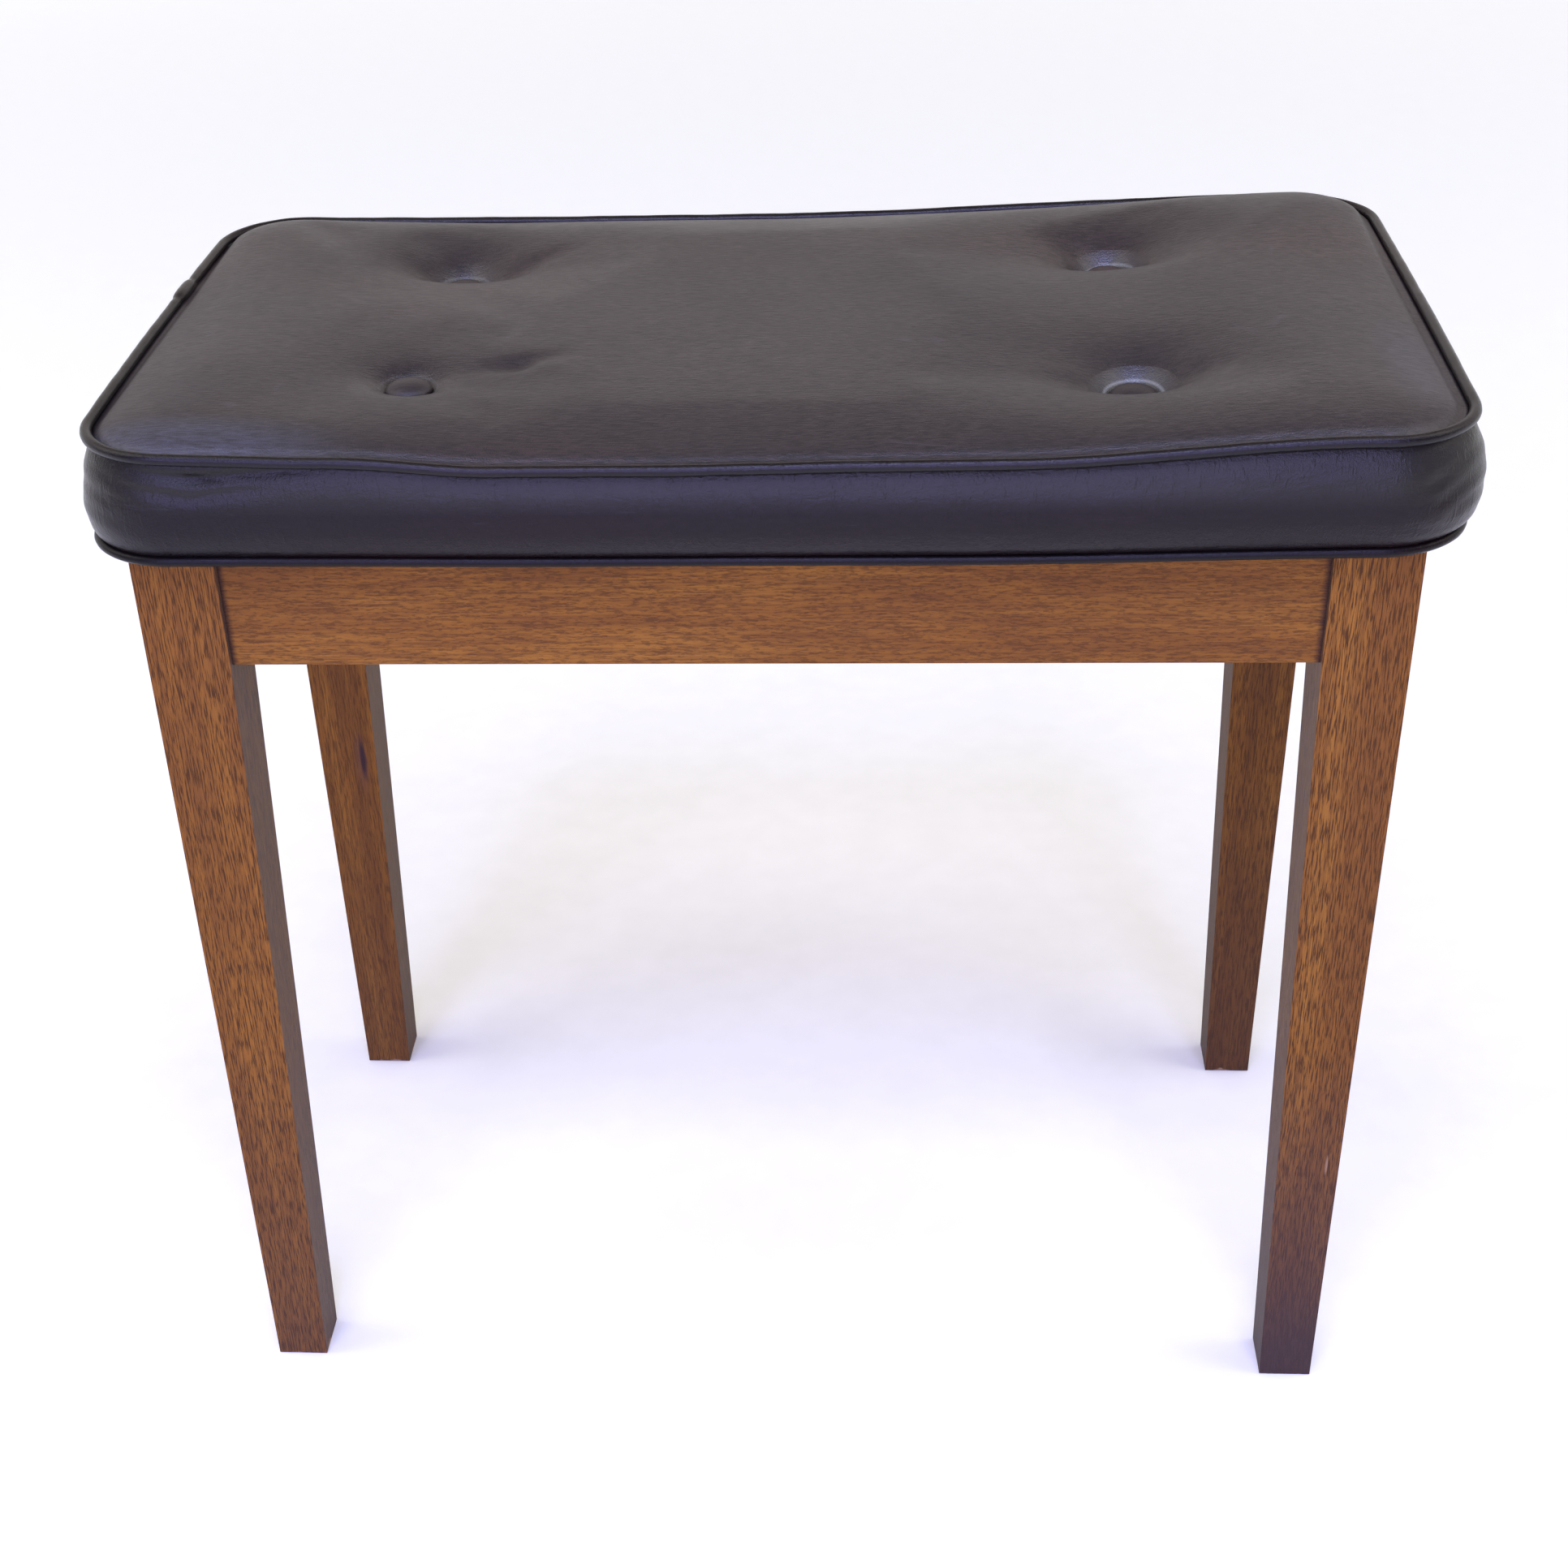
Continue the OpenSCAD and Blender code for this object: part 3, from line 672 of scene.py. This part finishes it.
def foot_lift(x):
    """How far the bottom seam rises towards the ends."""
    u = x / HALF_W
    return MM * np.where(u < 0, 1.2, 2.4) * smooth(0.25, 1.0, np.abs(u))


def bowl(x, y, button, reach_share, power):
    """Depth share of a dimple: flat under its button, steep in front and long behind."""
    bx, by = button["at"]
    distance = np.maximum(np.hypot(x - bx, y - by), 1e-9)
    facing = (y - by) / distance
    side, end = button["side"], np.where(facing < 0, button["front"], button["behind"])
    reach = reach_share * MM / np.sqrt(facing**2 / end**2 + (1 - facing**2) / side**2)
    return np.exp(-(np.maximum(distance - BUTTON_FLAT, 0) / reach) ** power)


def valley(x, y, start, end, width):
    """Depth share of a crease that is deepest near its start and fades out at its end."""
    (ax, ay), (bx, by) = start, end
    dx, dy = bx - ax, by - ay
    length = math.hypot(dx, dy)
    along = ((x - ax) * dx + (y - ay) * dy) / length**2
    across = ((x - ax) * dy - (y - ay) * dx) / length
    fade = (1 - smooth(0.15, 1.0, along)) * smooth(-0.2, 0.12, along)
    return fade * np.exp(-((across / width) ** 2))


def padded_height(x, y):
    """Height of the padded top, before its buttons pull it down."""
    depth = seam_distance(x, y)
    u, v = x / HALF_W, y / HALF_D
    rise = CROWN * (1 - np.exp(-depth / SHOULDER))
    right_back = smooth(0.3, 0.9, u) * smooth(0.1, 0.8, v)
    left_back = smooth(0.7, 1.0, -u) * smooth(0.3, 0.9, v)
    whole_back = smooth(0.2, 0.9, v)
    puff = (2.6 * right_back + 0.9 * left_back + 1.3 * whole_back) * MM
    puff = puff * (1 - np.exp(-depth / (0.5 * SHOULDER)))
    swell = 1.2 * MM * (1 - np.exp(-depth / (5 * SHOULDER)))
    return SEAM_Z - PANEL_EDGE_DOWN + seam_lift(x, y) + rise + puff + swell


def button_depth(button):
    bx, by = button["at"]
    return float(padded_height(np.float64(bx), np.float64(by))) - button["z"]


def top_height(x, y):
    """Height of the top under its buttons' wide bowls; the steep collars are pressed in later."""
    z = padded_height(x, y)
    pull = 0 * z
    for button in BUTTONS.values():
        pull = pull + button_depth(button) * (1 - COLLAR) * bowl(x, y, button, *WIDE_BOWL)
    for start, end, depth, width in TOP_CREASES:
        pull = pull + depth * valley(x, y, start, end, width)
    fade = 1 - np.exp(-seam_distance(x, y) / (8 * MM))
    return z - pull * fade


def collared(points):
    """Presses each button's steep collar into the top panel."""
    for button in BUTTONS.values():
        collar = bowl(points[:, 0], points[:, 1], button, *STEEP_COLLAR)
        points[:, 2] -= button_depth(button) * COLLAR * collar
    return points


def boxing_out(t, u, side):
    """Outward offset of the boxed side at a height share t, before the cloth settles."""
    foot, head = -BOXING_FOOT_IN, -BOXING_HEAD_IN
    bulge = BOXING_BULGE * (1 + 0.15 * u)
    return foot + (head - foot) * t + bulge * np.sin(np.pi * t**0.85) ** (0.85 - 0.3 * side)


def sheet_grid():
    """Starting mesh of the cover: the top panel's grid, then the boxing's rows down from the seam."""
    nx, ny = round(2 * HALF_W / CELL), round(2 * HALF_D / CELL)
    across, deep = np.linspace(-HALF_W, HALF_W, nx + 1), np.linspace(-HALF_D, HALF_D, ny + 1)
    gx, gy = np.meshgrid(across, deep, indexing="ij")
    x, y = rounded(gx, gy)
    x, y = x.ravel(), y.ravel()
    ox, oy = outward(x, y)
    edge = PANEL_EDGE_IN * np.clip(1 - seam_distance(x, y) / (3 * CELL), 0, 1)
    top_x, top_y = bowed(x - ox * edge, y - oy * edge)
    top = np.stack([top_x, top_y, top_height(x, y)], 1)

    index = np.arange((nx + 1) * (ny + 1)).reshape(nx + 1, ny + 1)
    ring = np.concatenate([index[:-1, 0], index[-1, :-1], index[:0:-1, -1], index[0, :0:-1]])
    faces = [
        (index[i, j], index[i + 1, j], index[i + 1, j + 1], index[i, j + 1])
        for i in range(nx)
        for j in range(ny)
    ]
    top_faces = len(faces)

    out_x, out_y = outward(x[ring], y[ring])
    seam_x, seam_y = bowed(x[ring], y[ring])
    head = np.stack([seam_x, seam_y, SEAM_Z - BOXING_HEAD_DOWN + seam_lift(x[ring], y[ring])], 1)
    foot_z = FOOT_Z + 0.4 * FOOT_CORD_R + foot_lift(x[ring])
    foot = np.stack([x[ring] * SHARE_W, y[ring] * SHARE_D, foot_z], 1)
    out = np.stack([out_x, out_y, 0 * out_x], 1)
    rows = []
    for row in range(BOXING_ROWS + 1):
        t = 1 - row / BOXING_ROWS
        bulged = boxing_out(t, x[ring] / HALF_W, np.abs(out_x))
        rows.append(head * t + foot * (1 - t) + out * bulged[:, None])
    base = len(top)
    count = len(ring)
    for row in range(BOXING_ROWS):
        for k in range(count):
            a, b = base + row * count + k, base + row * count + (k + 1) % count
            faces.append((a, a + count, b + count, b))
    return np.concatenate([top, *rows]), faces, top_faces, ring, base


def mesh_object(name, points, faces):
    mesh = bpy.data.meshes.new(name)
    mesh.from_pydata([tuple(p) for p in points], [], [tuple(int(i) for i in f) for f in faces])
    mesh.validate()
    thing = bpy.data.objects.new(name, mesh)
    bpy.context.scene.collection.objects.link(thing)
    for polygon in mesh.polygons:
        polygon.use_smooth = True
    return thing


def read_points(mesh):
    flat = np.empty(len(mesh.vertices) * 3, dtype=np.float32)
    mesh.vertices.foreach_get("co", flat)
    return flat.reshape(-1, 3).astype(np.float64)


def write_points(mesh, points):
    mesh.vertices.foreach_set("co", points.astype(np.float32).ravel())
    mesh.update()


SIM_FRAMES = 18
SIM_PRESSURE = 1.2
SIM_CAP = 2.2 * MM


def simulate(thing, pinned):
    """Blows the cover up as cloth over its padding, and returns the settled points."""
    start = read_points(thing.data)
    group = thing.vertex_groups.new(name="pinned")
    group.add([int(i) for i in pinned], 1.0, "REPLACE")
    cloth = thing.modifiers.new("cloth", "CLOTH")
    s = cloth.settings
    s.quality = 6
    s.mass = 0.4
    s.tension_stiffness = s.compression_stiffness = 25
    s.shear_stiffness = 12
    s.bending_stiffness = 5
    s.tension_damping = s.compression_damping = 10
    s.air_damping = 3
    s.vertex_group_mass = "pinned"
    s.pin_stiffness = 1
    s.use_pressure = True
    s.uniform_pressure_force = SIM_PRESSURE
    s.effector_weights.gravity = 0
    cloth.collision_settings.use_collision = False
    cloth.collision_settings.use_self_collision = False
    cloth.point_cache.frame_start, cloth.point_cache.frame_end = 1, SIM_FRAMES
    scene = bpy.context.scene
    for step in range(1, SIM_FRAMES + 1):
        scene.frame_set(step)
    settled = thing.evaluated_get(bpy.context.evaluated_depsgraph_get()).to_mesh()
    end = read_points(settled)
    thing.modifiers.remove(cloth)
    scene.frame_set(1)
    moved = end - start
    size = np.linalg.norm(moved, axis=1, keepdims=True)
    return start + moved * np.minimum(1, SIM_CAP / np.maximum(size, 1e-9))


def subdivided(thing):
    """The mesh of thing after one smooth subdivision, as points and faces."""
    modifier = thing.modifiers.new("finer", "SUBSURF")
    modifier.levels = modifier.render_levels = 1
    mesh = thing.evaluated_get(bpy.context.evaluated_depsgraph_get()).to_mesh()
    points = read_points(mesh)
    faces = [tuple(p.vertices) for p in mesh.polygons]
    thing.modifiers.remove(modifier)
    return points, faces


def add_piece(name, points, faces, material, node, thickness=0.0):
    piece = mesh_object(name, points, faces)
    piece.data.materials.append(material)
    if thickness:
        wall = piece.modifiers.new("thickness", "SOLIDIFY")
        wall.thickness = thickness
        wall.offset = -1
    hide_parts(node)
    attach(piece, BODY)
    return piece


def used_only(points, faces):
    """Drops the points that no face uses."""
    used = sorted({i for f in faces for i in f})
    renumber = {old: new for new, old in enumerate(used)}
    return points[used], [tuple(renumber[i] for i in f) for f in faces]


VINYL_T = 1.2 * MM
RIDGE_IN = 5.5 * MM
RIDGE_DOWN = 1.3 * MM


def seam_ridge(points):
    """Presses the line of the seam allowance into the top panel, just inside the piping."""
    depth = seam_distance(points[:, 0], points[:, 1])
    points[:, 2] -= RIDGE_DOWN * np.exp(-(((depth - RIDGE_IN) / (1.8 * MM)) ** 2))
    return points


def creased(points):
    """Presses creases into the boxing: drawn folds in front, fine ripples round the corners."""
    x, y, z = points.T
    ox, oy = outward(x, y)
    front = smooth(0.5, 0.9, -y / HALF_D)
    press = 0 * x
    for start, end, depth, width in BOXING_CREASES:
        press += depth * front * valley(x, z, start, end, width)
    share = (z - FOOT_Z) / (SEAM_Z - FOOT_Z)
    middle = np.clip(4 * share * (1 - share), 0, 1)
    corner = smooth(0.88, 1.0, np.abs(x) / HALF_W)
    ripple = [noise.noise(Vector((3 * p[0] + 5, 14 * p[1], 150 * p[2]))) for p in points]
    press += (0.25 + 1.0 * corner) * MM * middle * np.array(ripple)
    points[:, 0] -= ox * press
    points[:, 1] -= oy * press
    return points


def make_cover(vinyl, shaded_side_vinyl):
    points, faces, top_faces, ring, base = sheet_grid()
    count = len(ring)
    x, y = points[:base, 0], points[:base, 1]
    pinned = set(ring.tolist()) | set(range(base, base + count))
    pinned |= set(range(base + BOXING_ROWS * count, len(points)))
    for button in BUTTONS.values():
        bx, by = button["at"]
        pinned |= set(np.nonzero(np.hypot(x - bx, y - by) < BUTTON_PINNED)[0].tolist())
    cover = mesh_object("cover_blank", points, faces)
    write_points(cover.data, simulate(cover, pinned))
    settled = read_points(cover.data)
    bpy.data.objects.remove(cover)

    for name, chosen, node, skin in (
        ("vinyl_top", faces[:top_faces], "top_cover", vinyl),
        ("vinyl_boxing", faces[top_faces:], "boxing_band", shaded_side_vinyl),
    ):
        part_points, part_faces = used_only(settled, chosen)
        blank = mesh_object("blank", part_points, part_faces)
        fine_points, fine_faces = subdivided(blank)
        bpy.data.objects.remove(blank)
        fine_points = collared(seam_ridge(fine_points)) if node == "top_cover" else creased(fine_points)
        panel = add_piece(name, fine_points, fine_faces, skin, node, VINYL_T)
    make_foam(settled, faces[:top_faces], ring, base)


FOAM_GAP = 4.0 * MM
FOAM_SIDE_GAP = 6.5 * MM
FOAM_ROWS = 5
FOAM_SWELL = 2.2 * MM
FOAM_FOOT_IN = 3.5 * MM
FOAM_ABOVE_BOARD = 0.3 * MM


def make_foam(points, top_faces, ring, base):
    """Foam core under the cover: the top panel lowered, walls inside the boxing, and a flat base."""
    top = points[:base].copy()
    ox, oy = outward(top[:, 0], top[:, 1])
    near = np.clip(1 - seam_distance(top[:, 0], top[:, 1]) / (2 * CELL), 0, 1)
    top[:, 0] -= ox * FOAM_SIDE_GAP * near
    top[:, 1] -= oy * FOAM_SIDE_GAP * near
    top[:, 2] -= FOAM_GAP
    for button in BUTTONS.values():
        collar = bowl(top[:, 0], top[:, 1], button, *FOAM_COLLAR)
        top[:, 2] -= button_depth(button) * COLLAR * collar
    rim = top[ring]
    faces = [tuple(f) for f in top_faces]
    count = len(ring)
    out_x, out_y = outward(points[ring, 0], points[ring, 1])
    extra = []
    for row in range(1, FOAM_ROWS + 1):
        t = row / FOAM_ROWS
        swell = FOAM_SWELL * math.sin(math.pi * t) - FOAM_FOOT_IN * t
        z = rim[:, 2] * (1 - t) + (BOARD_TOP + FOAM_ABOVE_BOARD) * t
        extra.append(np.stack([rim[:, 0] + out_x * swell, rim[:, 1] + out_y * swell, z], 1))
    previous = list(ring)
    for row in range(FOAM_ROWS):
        current = [base + row * count + k for k in range(count)]
        for k in range(count):
            n = (k + 1) % count
            faces.append((previous[k], current[k], current[n], previous[n]))
        previous = current
    faces.append(tuple(reversed(previous)))
    points = np.concatenate([top, *extra])
    foam = add_piece("foam_core", points, faces, foam_material("foam"), "foam_pad")


# ---------------------------------------------------------------- piping


def outline(out, step):
    """Points and outward directions all round the seam, offset outward."""
    flat_x, flat_y = HALF_W - CORNER_R, HALF_D - CORNER_R
    r = CORNER_R + out
    runs = []
    corners = [(1, -1, -90), (1, 1, 0), (-1, 1, 90), (-1, -1, 180)]
    for sx, sy, first in corners:
        turns = max(2, round(r * math.pi / 2 / step))
        for i in range(turns + 1):
            a = math.radians(first + 90 * i / turns)
            out_x, out_y = math.cos(a), math.sin(a)
            runs.append((sx * flat_x + r * out_x, sy * flat_y + r * out_y, out_x, out_y))
        length = 2 * (flat_y if sx * sy < 0 else flat_x)
        last = runs[-1]
        for i in range(1, round(length / step)):
            d = length * i * step / (round(length / step) * step)
            runs.append((last[0] - last[3] * d, last[1] + last[2] * d, last[2], last[3]))
    return np.array(runs)


def sweep_cord(path, radii, sides):
    """Closed tube along a closed path of points."""
    count = len(path)
    tangent = np.roll(path, -1, 0) - np.roll(path, 1, 0)
    tangent /= np.linalg.norm(tangent, axis=1, keepdims=True)
    side = np.cross(tangent, (0, 0, 1.0))
    side /= np.linalg.norm(side, axis=1, keepdims=True)
    up = np.cross(side, tangent)
    points = []
    for k in range(sides):
        a = 2 * math.pi * k / sides
        points.append(path + (side * math.cos(a) + up * math.sin(a)) * radii[:, None])
    points = np.stack(points, 1).reshape(-1, 3)
    faces = []
    for i in range(count):
        n = (i + 1) % count
        for k in range(sides):
            m = (k + 1) % sides
            faces.append((i * sides + k, n * sides + k, n * sides + m, i * sides + m))
    return points, faces


def wobble(path, scale, size, seed):
    """Smooth noise along a path."""
    return np.array([size * noise.noise(Vector((p[0] * scale, p[1] * scale, seed))) for p in path])


CORD_STEP = 2.0 * MM
CORD_SIDES, FOOT_CORD_SIDES = 14, 12
CORD_FULL, FOOT_CORD_FULL = 1.03, 1.05
JOIN_AT = (-0.281, 0.045)
JOIN_REACH = 12 * MM
JOIN_SWELL = 0.9 * MM


def make_piping(top_vinyl, foot_vinyl):
    """Both welts; the upper one is joined on the left, where its cover is tucked over itself."""
    runs = outline(CORD_OUT, CORD_STEP)
    x, y = bowed(runs[:, 0], runs[:, 1])
    path = np.stack([x, y, SEAM_Z + seam_lift(runs[:, 0], runs[:, 1])], 1)
    path[:, 2] += wobble(path, 30, 0.25 * MM, 5)
    from_join = np.hypot(x - JOIN_AT[0], y - JOIN_AT[1]) / JOIN_REACH
    swelling = np.exp(-(from_join**4)) - 0.5 * np.exp(-(((from_join - 1.1) / 0.2) ** 2))
    radii = CORD_R * CORD_FULL + wobble(path, 90, 0.14 * MM, 1) + JOIN_SWELL * swelling
    points, faces = sweep_cord(path, radii, CORD_SIDES)
    add_piece("piping_upper", points, faces, top_vinyl, "top_piping")

    runs = outline(0, CORD_STEP)
    path = np.stack([runs[:, 0] * SHARE_W, runs[:, 1] * SHARE_D, FOOT_Z + foot_lift(runs[:, 0])], 1)
    path[:, 2] += wobble(path, 9, 0.4 * MM, 7)
    radii = FOOT_CORD_R * FOOT_CORD_FULL + wobble(path, 90, 0.08 * MM, 3)
    points, faces = sweep_cord(path, radii, FOOT_CORD_SIDES)
    add_piece("piping_lower", points, faces, foot_vinyl, "bottom_piping")


# ---------------------------------------------------------------- buttons


# Section of a button from the top of its dome to its back, as radius and height in millimetres
BUTTON_SECTION = (
    (0, 4.4), (3.0, 4.25), (6.0, 3.7), (8.4, 2.7), (9.8, 1.4),
    (10.3, 0.3), (10.0, -0.8), (8.6, -1.4), (3.0, -1.5), (0, -1.5),
)
BUTTON_WIDEST = 10.3
BUTTON_SIDES = 40
BUTTON_RAISED = 0.9 * MM
PUCKERS, PUCKER_DEPTH = 9, 0.012


def make_button(name, button, vinyl):
    """Covered button: a padded dome, its rolled rim and a flat back."""
    sides = BUTTON_SIDES
    bx, by = button["at"]
    z = button["z"] + BUTTON_RAISED
    points, faces = [], []
    for ring, (r, h) in enumerate(BUTTON_SECTION):
        if r == 0:
            points.append((bx, by, z + h * MM))
            continue
        for k in range(sides):
            a = 2 * math.pi * k / sides
            pucker = 1 + PUCKER_DEPTH * math.cos(PUCKERS * a + 1.1 * ring) * (r / BUTTON_WIDEST) ** 4
            reach = r * MM * pucker
            points.append((bx + reach * math.cos(a), by + reach * math.sin(a), z + h * MM))
    rings = len(BUTTON_SECTION) - 2
    for k in range(sides):
        n = (k + 1) % sides
        faces.append((0, 1 + k, 1 + n))
        for ring in range(rings - 1):
            a, b = 1 + ring * sides + k, 1 + ring * sides + n
            faces.append((a, a + sides, b + sides, b))
        last = 1 + (rings - 1) * sides
        faces.append((last + k, len(points) - 1, last + n))
    piece = add_piece(f"covered_button_{name}", np.array(points), faces, vinyl, f"button_{name}")
    finer = piece.modifiers.new("finer", "SUBSURF")
    finer.levels = finer.render_levels = 1


# ---------------------------------------------------------------- twines

STRAND_R = 0.55 * MM
TWIST_R = 0.52 * MM
TWIST_PITCH = 6 * MM
KNOT_R = 1.35 * MM
KNOT_DOWN = 1.3 * MM
TAIL = 7 * MM


def open_tube(path, radius, sides=8):
    """Round tube along an open path, closed at both ends."""
    tangent = np.gradient(path, axis=0)
    tangent /= np.linalg.norm(tangent, axis=1, keepdims=True)
    side = np.cross(tangent, (0.31, 0.95, 0.05))
    side /= np.linalg.norm(side, axis=1, keepdims=True)
    up = np.cross(side, tangent)
    turns = [2 * math.pi * k / sides for k in range(sides)]
    rings = [path + (side * math.cos(a) + up * math.sin(a)) * radius for a in turns]
    faces = []
    for i in range(len(path) - 1):
        for k in range(sides):
            a, b = i * sides + k, i * sides + (k + 1) % sides
            faces.append((a, b, b + sides, a + sides))
    last = (len(path) - 1) * sides
    faces.append(tuple(range(sides - 1, -1, -1)))
    faces.append(tuple(range(last, last + sides)))
    return np.stack(rings, 1).reshape(-1, 3), faces


def twine_paths(x, y, top, knot_z, turn):
    """Two twisted strands from a button down to its knot, the knot itself, and its two cut tails."""
    paths = []
    z = np.linspace(top, knot_z, 50)
    for phase in (0, math.pi):
        a = 2 * math.pi * z / TWIST_PITCH + phase
        paths.append(np.stack([x + TWIST_R * np.cos(a), y + TWIST_R * np.sin(a), z], 1))
    t = np.linspace(0, 2 * math.pi * 0.98, 60)
    r = KNOT_R * (1 + 0.45 * np.cos(3 * t))
    around, rise = 2 * t + turn, 0.55 * KNOT_R * np.sin(3 * t)
    paths.append(np.stack([x + r * np.cos(around), y + r * np.sin(around), knot_z + rise], 1))
    for spread in (0.4, 2.3):
        t = np.linspace(0, 1, 12)
        a = turn + spread
        reach = KNOT_R + TAIL * t
        fall = knot_z - 0.6 * MM - 0.5 * MM * np.sin(3 * t)
        bend = a + 0.5 * t
        paths.append(np.stack([x + reach * np.cos(bend), y + reach * np.sin(bend), fall], 1))
    return paths


def make_twines(material):
    knot_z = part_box("button_washers")[0][2] - KNOT_DOWN
    points, faces, base = [], [], 0
    for i, button in enumerate(BUTTONS.values()):
        x, y = button["at"]
        for path in twine_paths(x, y, button["z"] - 0.4 * MM, knot_z, 1.3 * i):
            tube_points, tube_faces = open_tube(path, STRAND_R)
            points.append(tube_points)
            faces += [tuple(base + k for k in face) for face in tube_faces]
            base += len(tube_points)
    add_piece("twisted_twines", np.concatenate(points), faces, material, "button_twines")


# ---------------------------------------------------------------- underside


MARGIN_T = 0.6 * MM
MARGIN_STEP = 3 * MM
MARGIN_ROWS = 8
TURNED_IN = 5 * MM
PAST_STAPLES = 8 * MM
MARGIN_SAG = 0.15 * MM


def make_margin(vinyl):
    """The cover's edge, turned in under the piping, drawn under the board in shallow waves and stapled."""
    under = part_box("cover_margin")[1][2] - 0.1 * MM
    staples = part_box("cover_staples")
    reach_x, reach_y = staples[1][0] - PAST_STAPLES, staples[1][1] - PAST_STAPLES
    runs = outline(0, MARGIN_STEP)
    count = len(runs)
    x, y, out_x, out_y = runs.T
    edge_x, edge_y = x * SHARE_W, y * SHARE_D
    start = np.stack([edge_x, edge_y, FOOT_Z + foot_lift(x) - 0.6 * FOOT_CORD_R], 1)
    turned_x, turned_y = edge_x - TURNED_IN * out_x, edge_y - TURNED_IN * out_y
    turned = np.stack([turned_x, turned_y, np.full(count, under)], 1)
    inner = np.stack([x * reach_x / x.max(), y * reach_y / y.max(), np.full(count, under)], 1)
    rows = [start, turned]
    for t in np.linspace(0, 1, MARGIN_ROWS + 1)[1:]:
        row = turned * (1 - t) + inner * t
        sag = MARGIN_SAG * math.sin(math.pi * t)
        row[:, 2] -= [sag * (1 + noise.noise(Vector((60 * p[0], 60 * p[1], 4)))) for p in row]
        rows.append(row)
    faces = []
    for row in range(len(rows) - 1):
        for k in range(count):
            a, b = row * count + k, row * count + (k + 1) % count
            faces.append((a, a + count, b + count, b))
    add_piece("vinyl_underside", np.concatenate(rows), faces, vinyl, "cover_margin", MARGIN_T)


make_camera()
make_stage()
dress_frame()
button_rims = [(*b["at"], b["rim"]) for b in BUTTONS.values()]
vinyl = leatherette("vinyl", tone=1.0, crush=0.12, rub_highlights=TOP_RUB_HIGHLIGHTS, grooves=button_rims)
# painted shade: the side band's vinyl is a darker copy of the top's, toned down for the shade on its
# upright faces; the turned-in margin underneath uses it too
shaded_side_look = {"tone": 0.45, "gloss": 0.17, "weave": 0.4, "shine": 0.165, "crush": 0.35}
shaded_side_vinyl = leatherette("shaded_side_vinyl", **shaded_side_look, rubbed_highlight_band=(SEAM_Z - 21 * MM, SEAM_Z - 12 * MM))
make_cover(vinyl, shaded_side_vinyl)
# painted shade: both welts are darker copies of the vinyl, and the lower one is darker and duller still
shaded_top_piping_vinyl = leatherette("shaded_top_piping_vinyl", tone=0.3, gloss=0.18, weave=0.0, shine=0.24)
shaded_foot_piping_vinyl = leatherette("shaded_foot_piping_vinyl", tone=0.25, gloss=0.13, weave=0.0, shine=0.14)
make_piping(shaded_top_piping_vinyl, shaded_foot_piping_vinyl)
button_vinyl = leatherette("button_vinyl", tone=1.0, weave=0.5, shine=0.4)
for button_name, button_data in BUTTONS.items():
    make_button(button_name, button_data, button_vinyl)
make_margin(shaded_side_vinyl)
make_twines(waxed_twine("twine"))
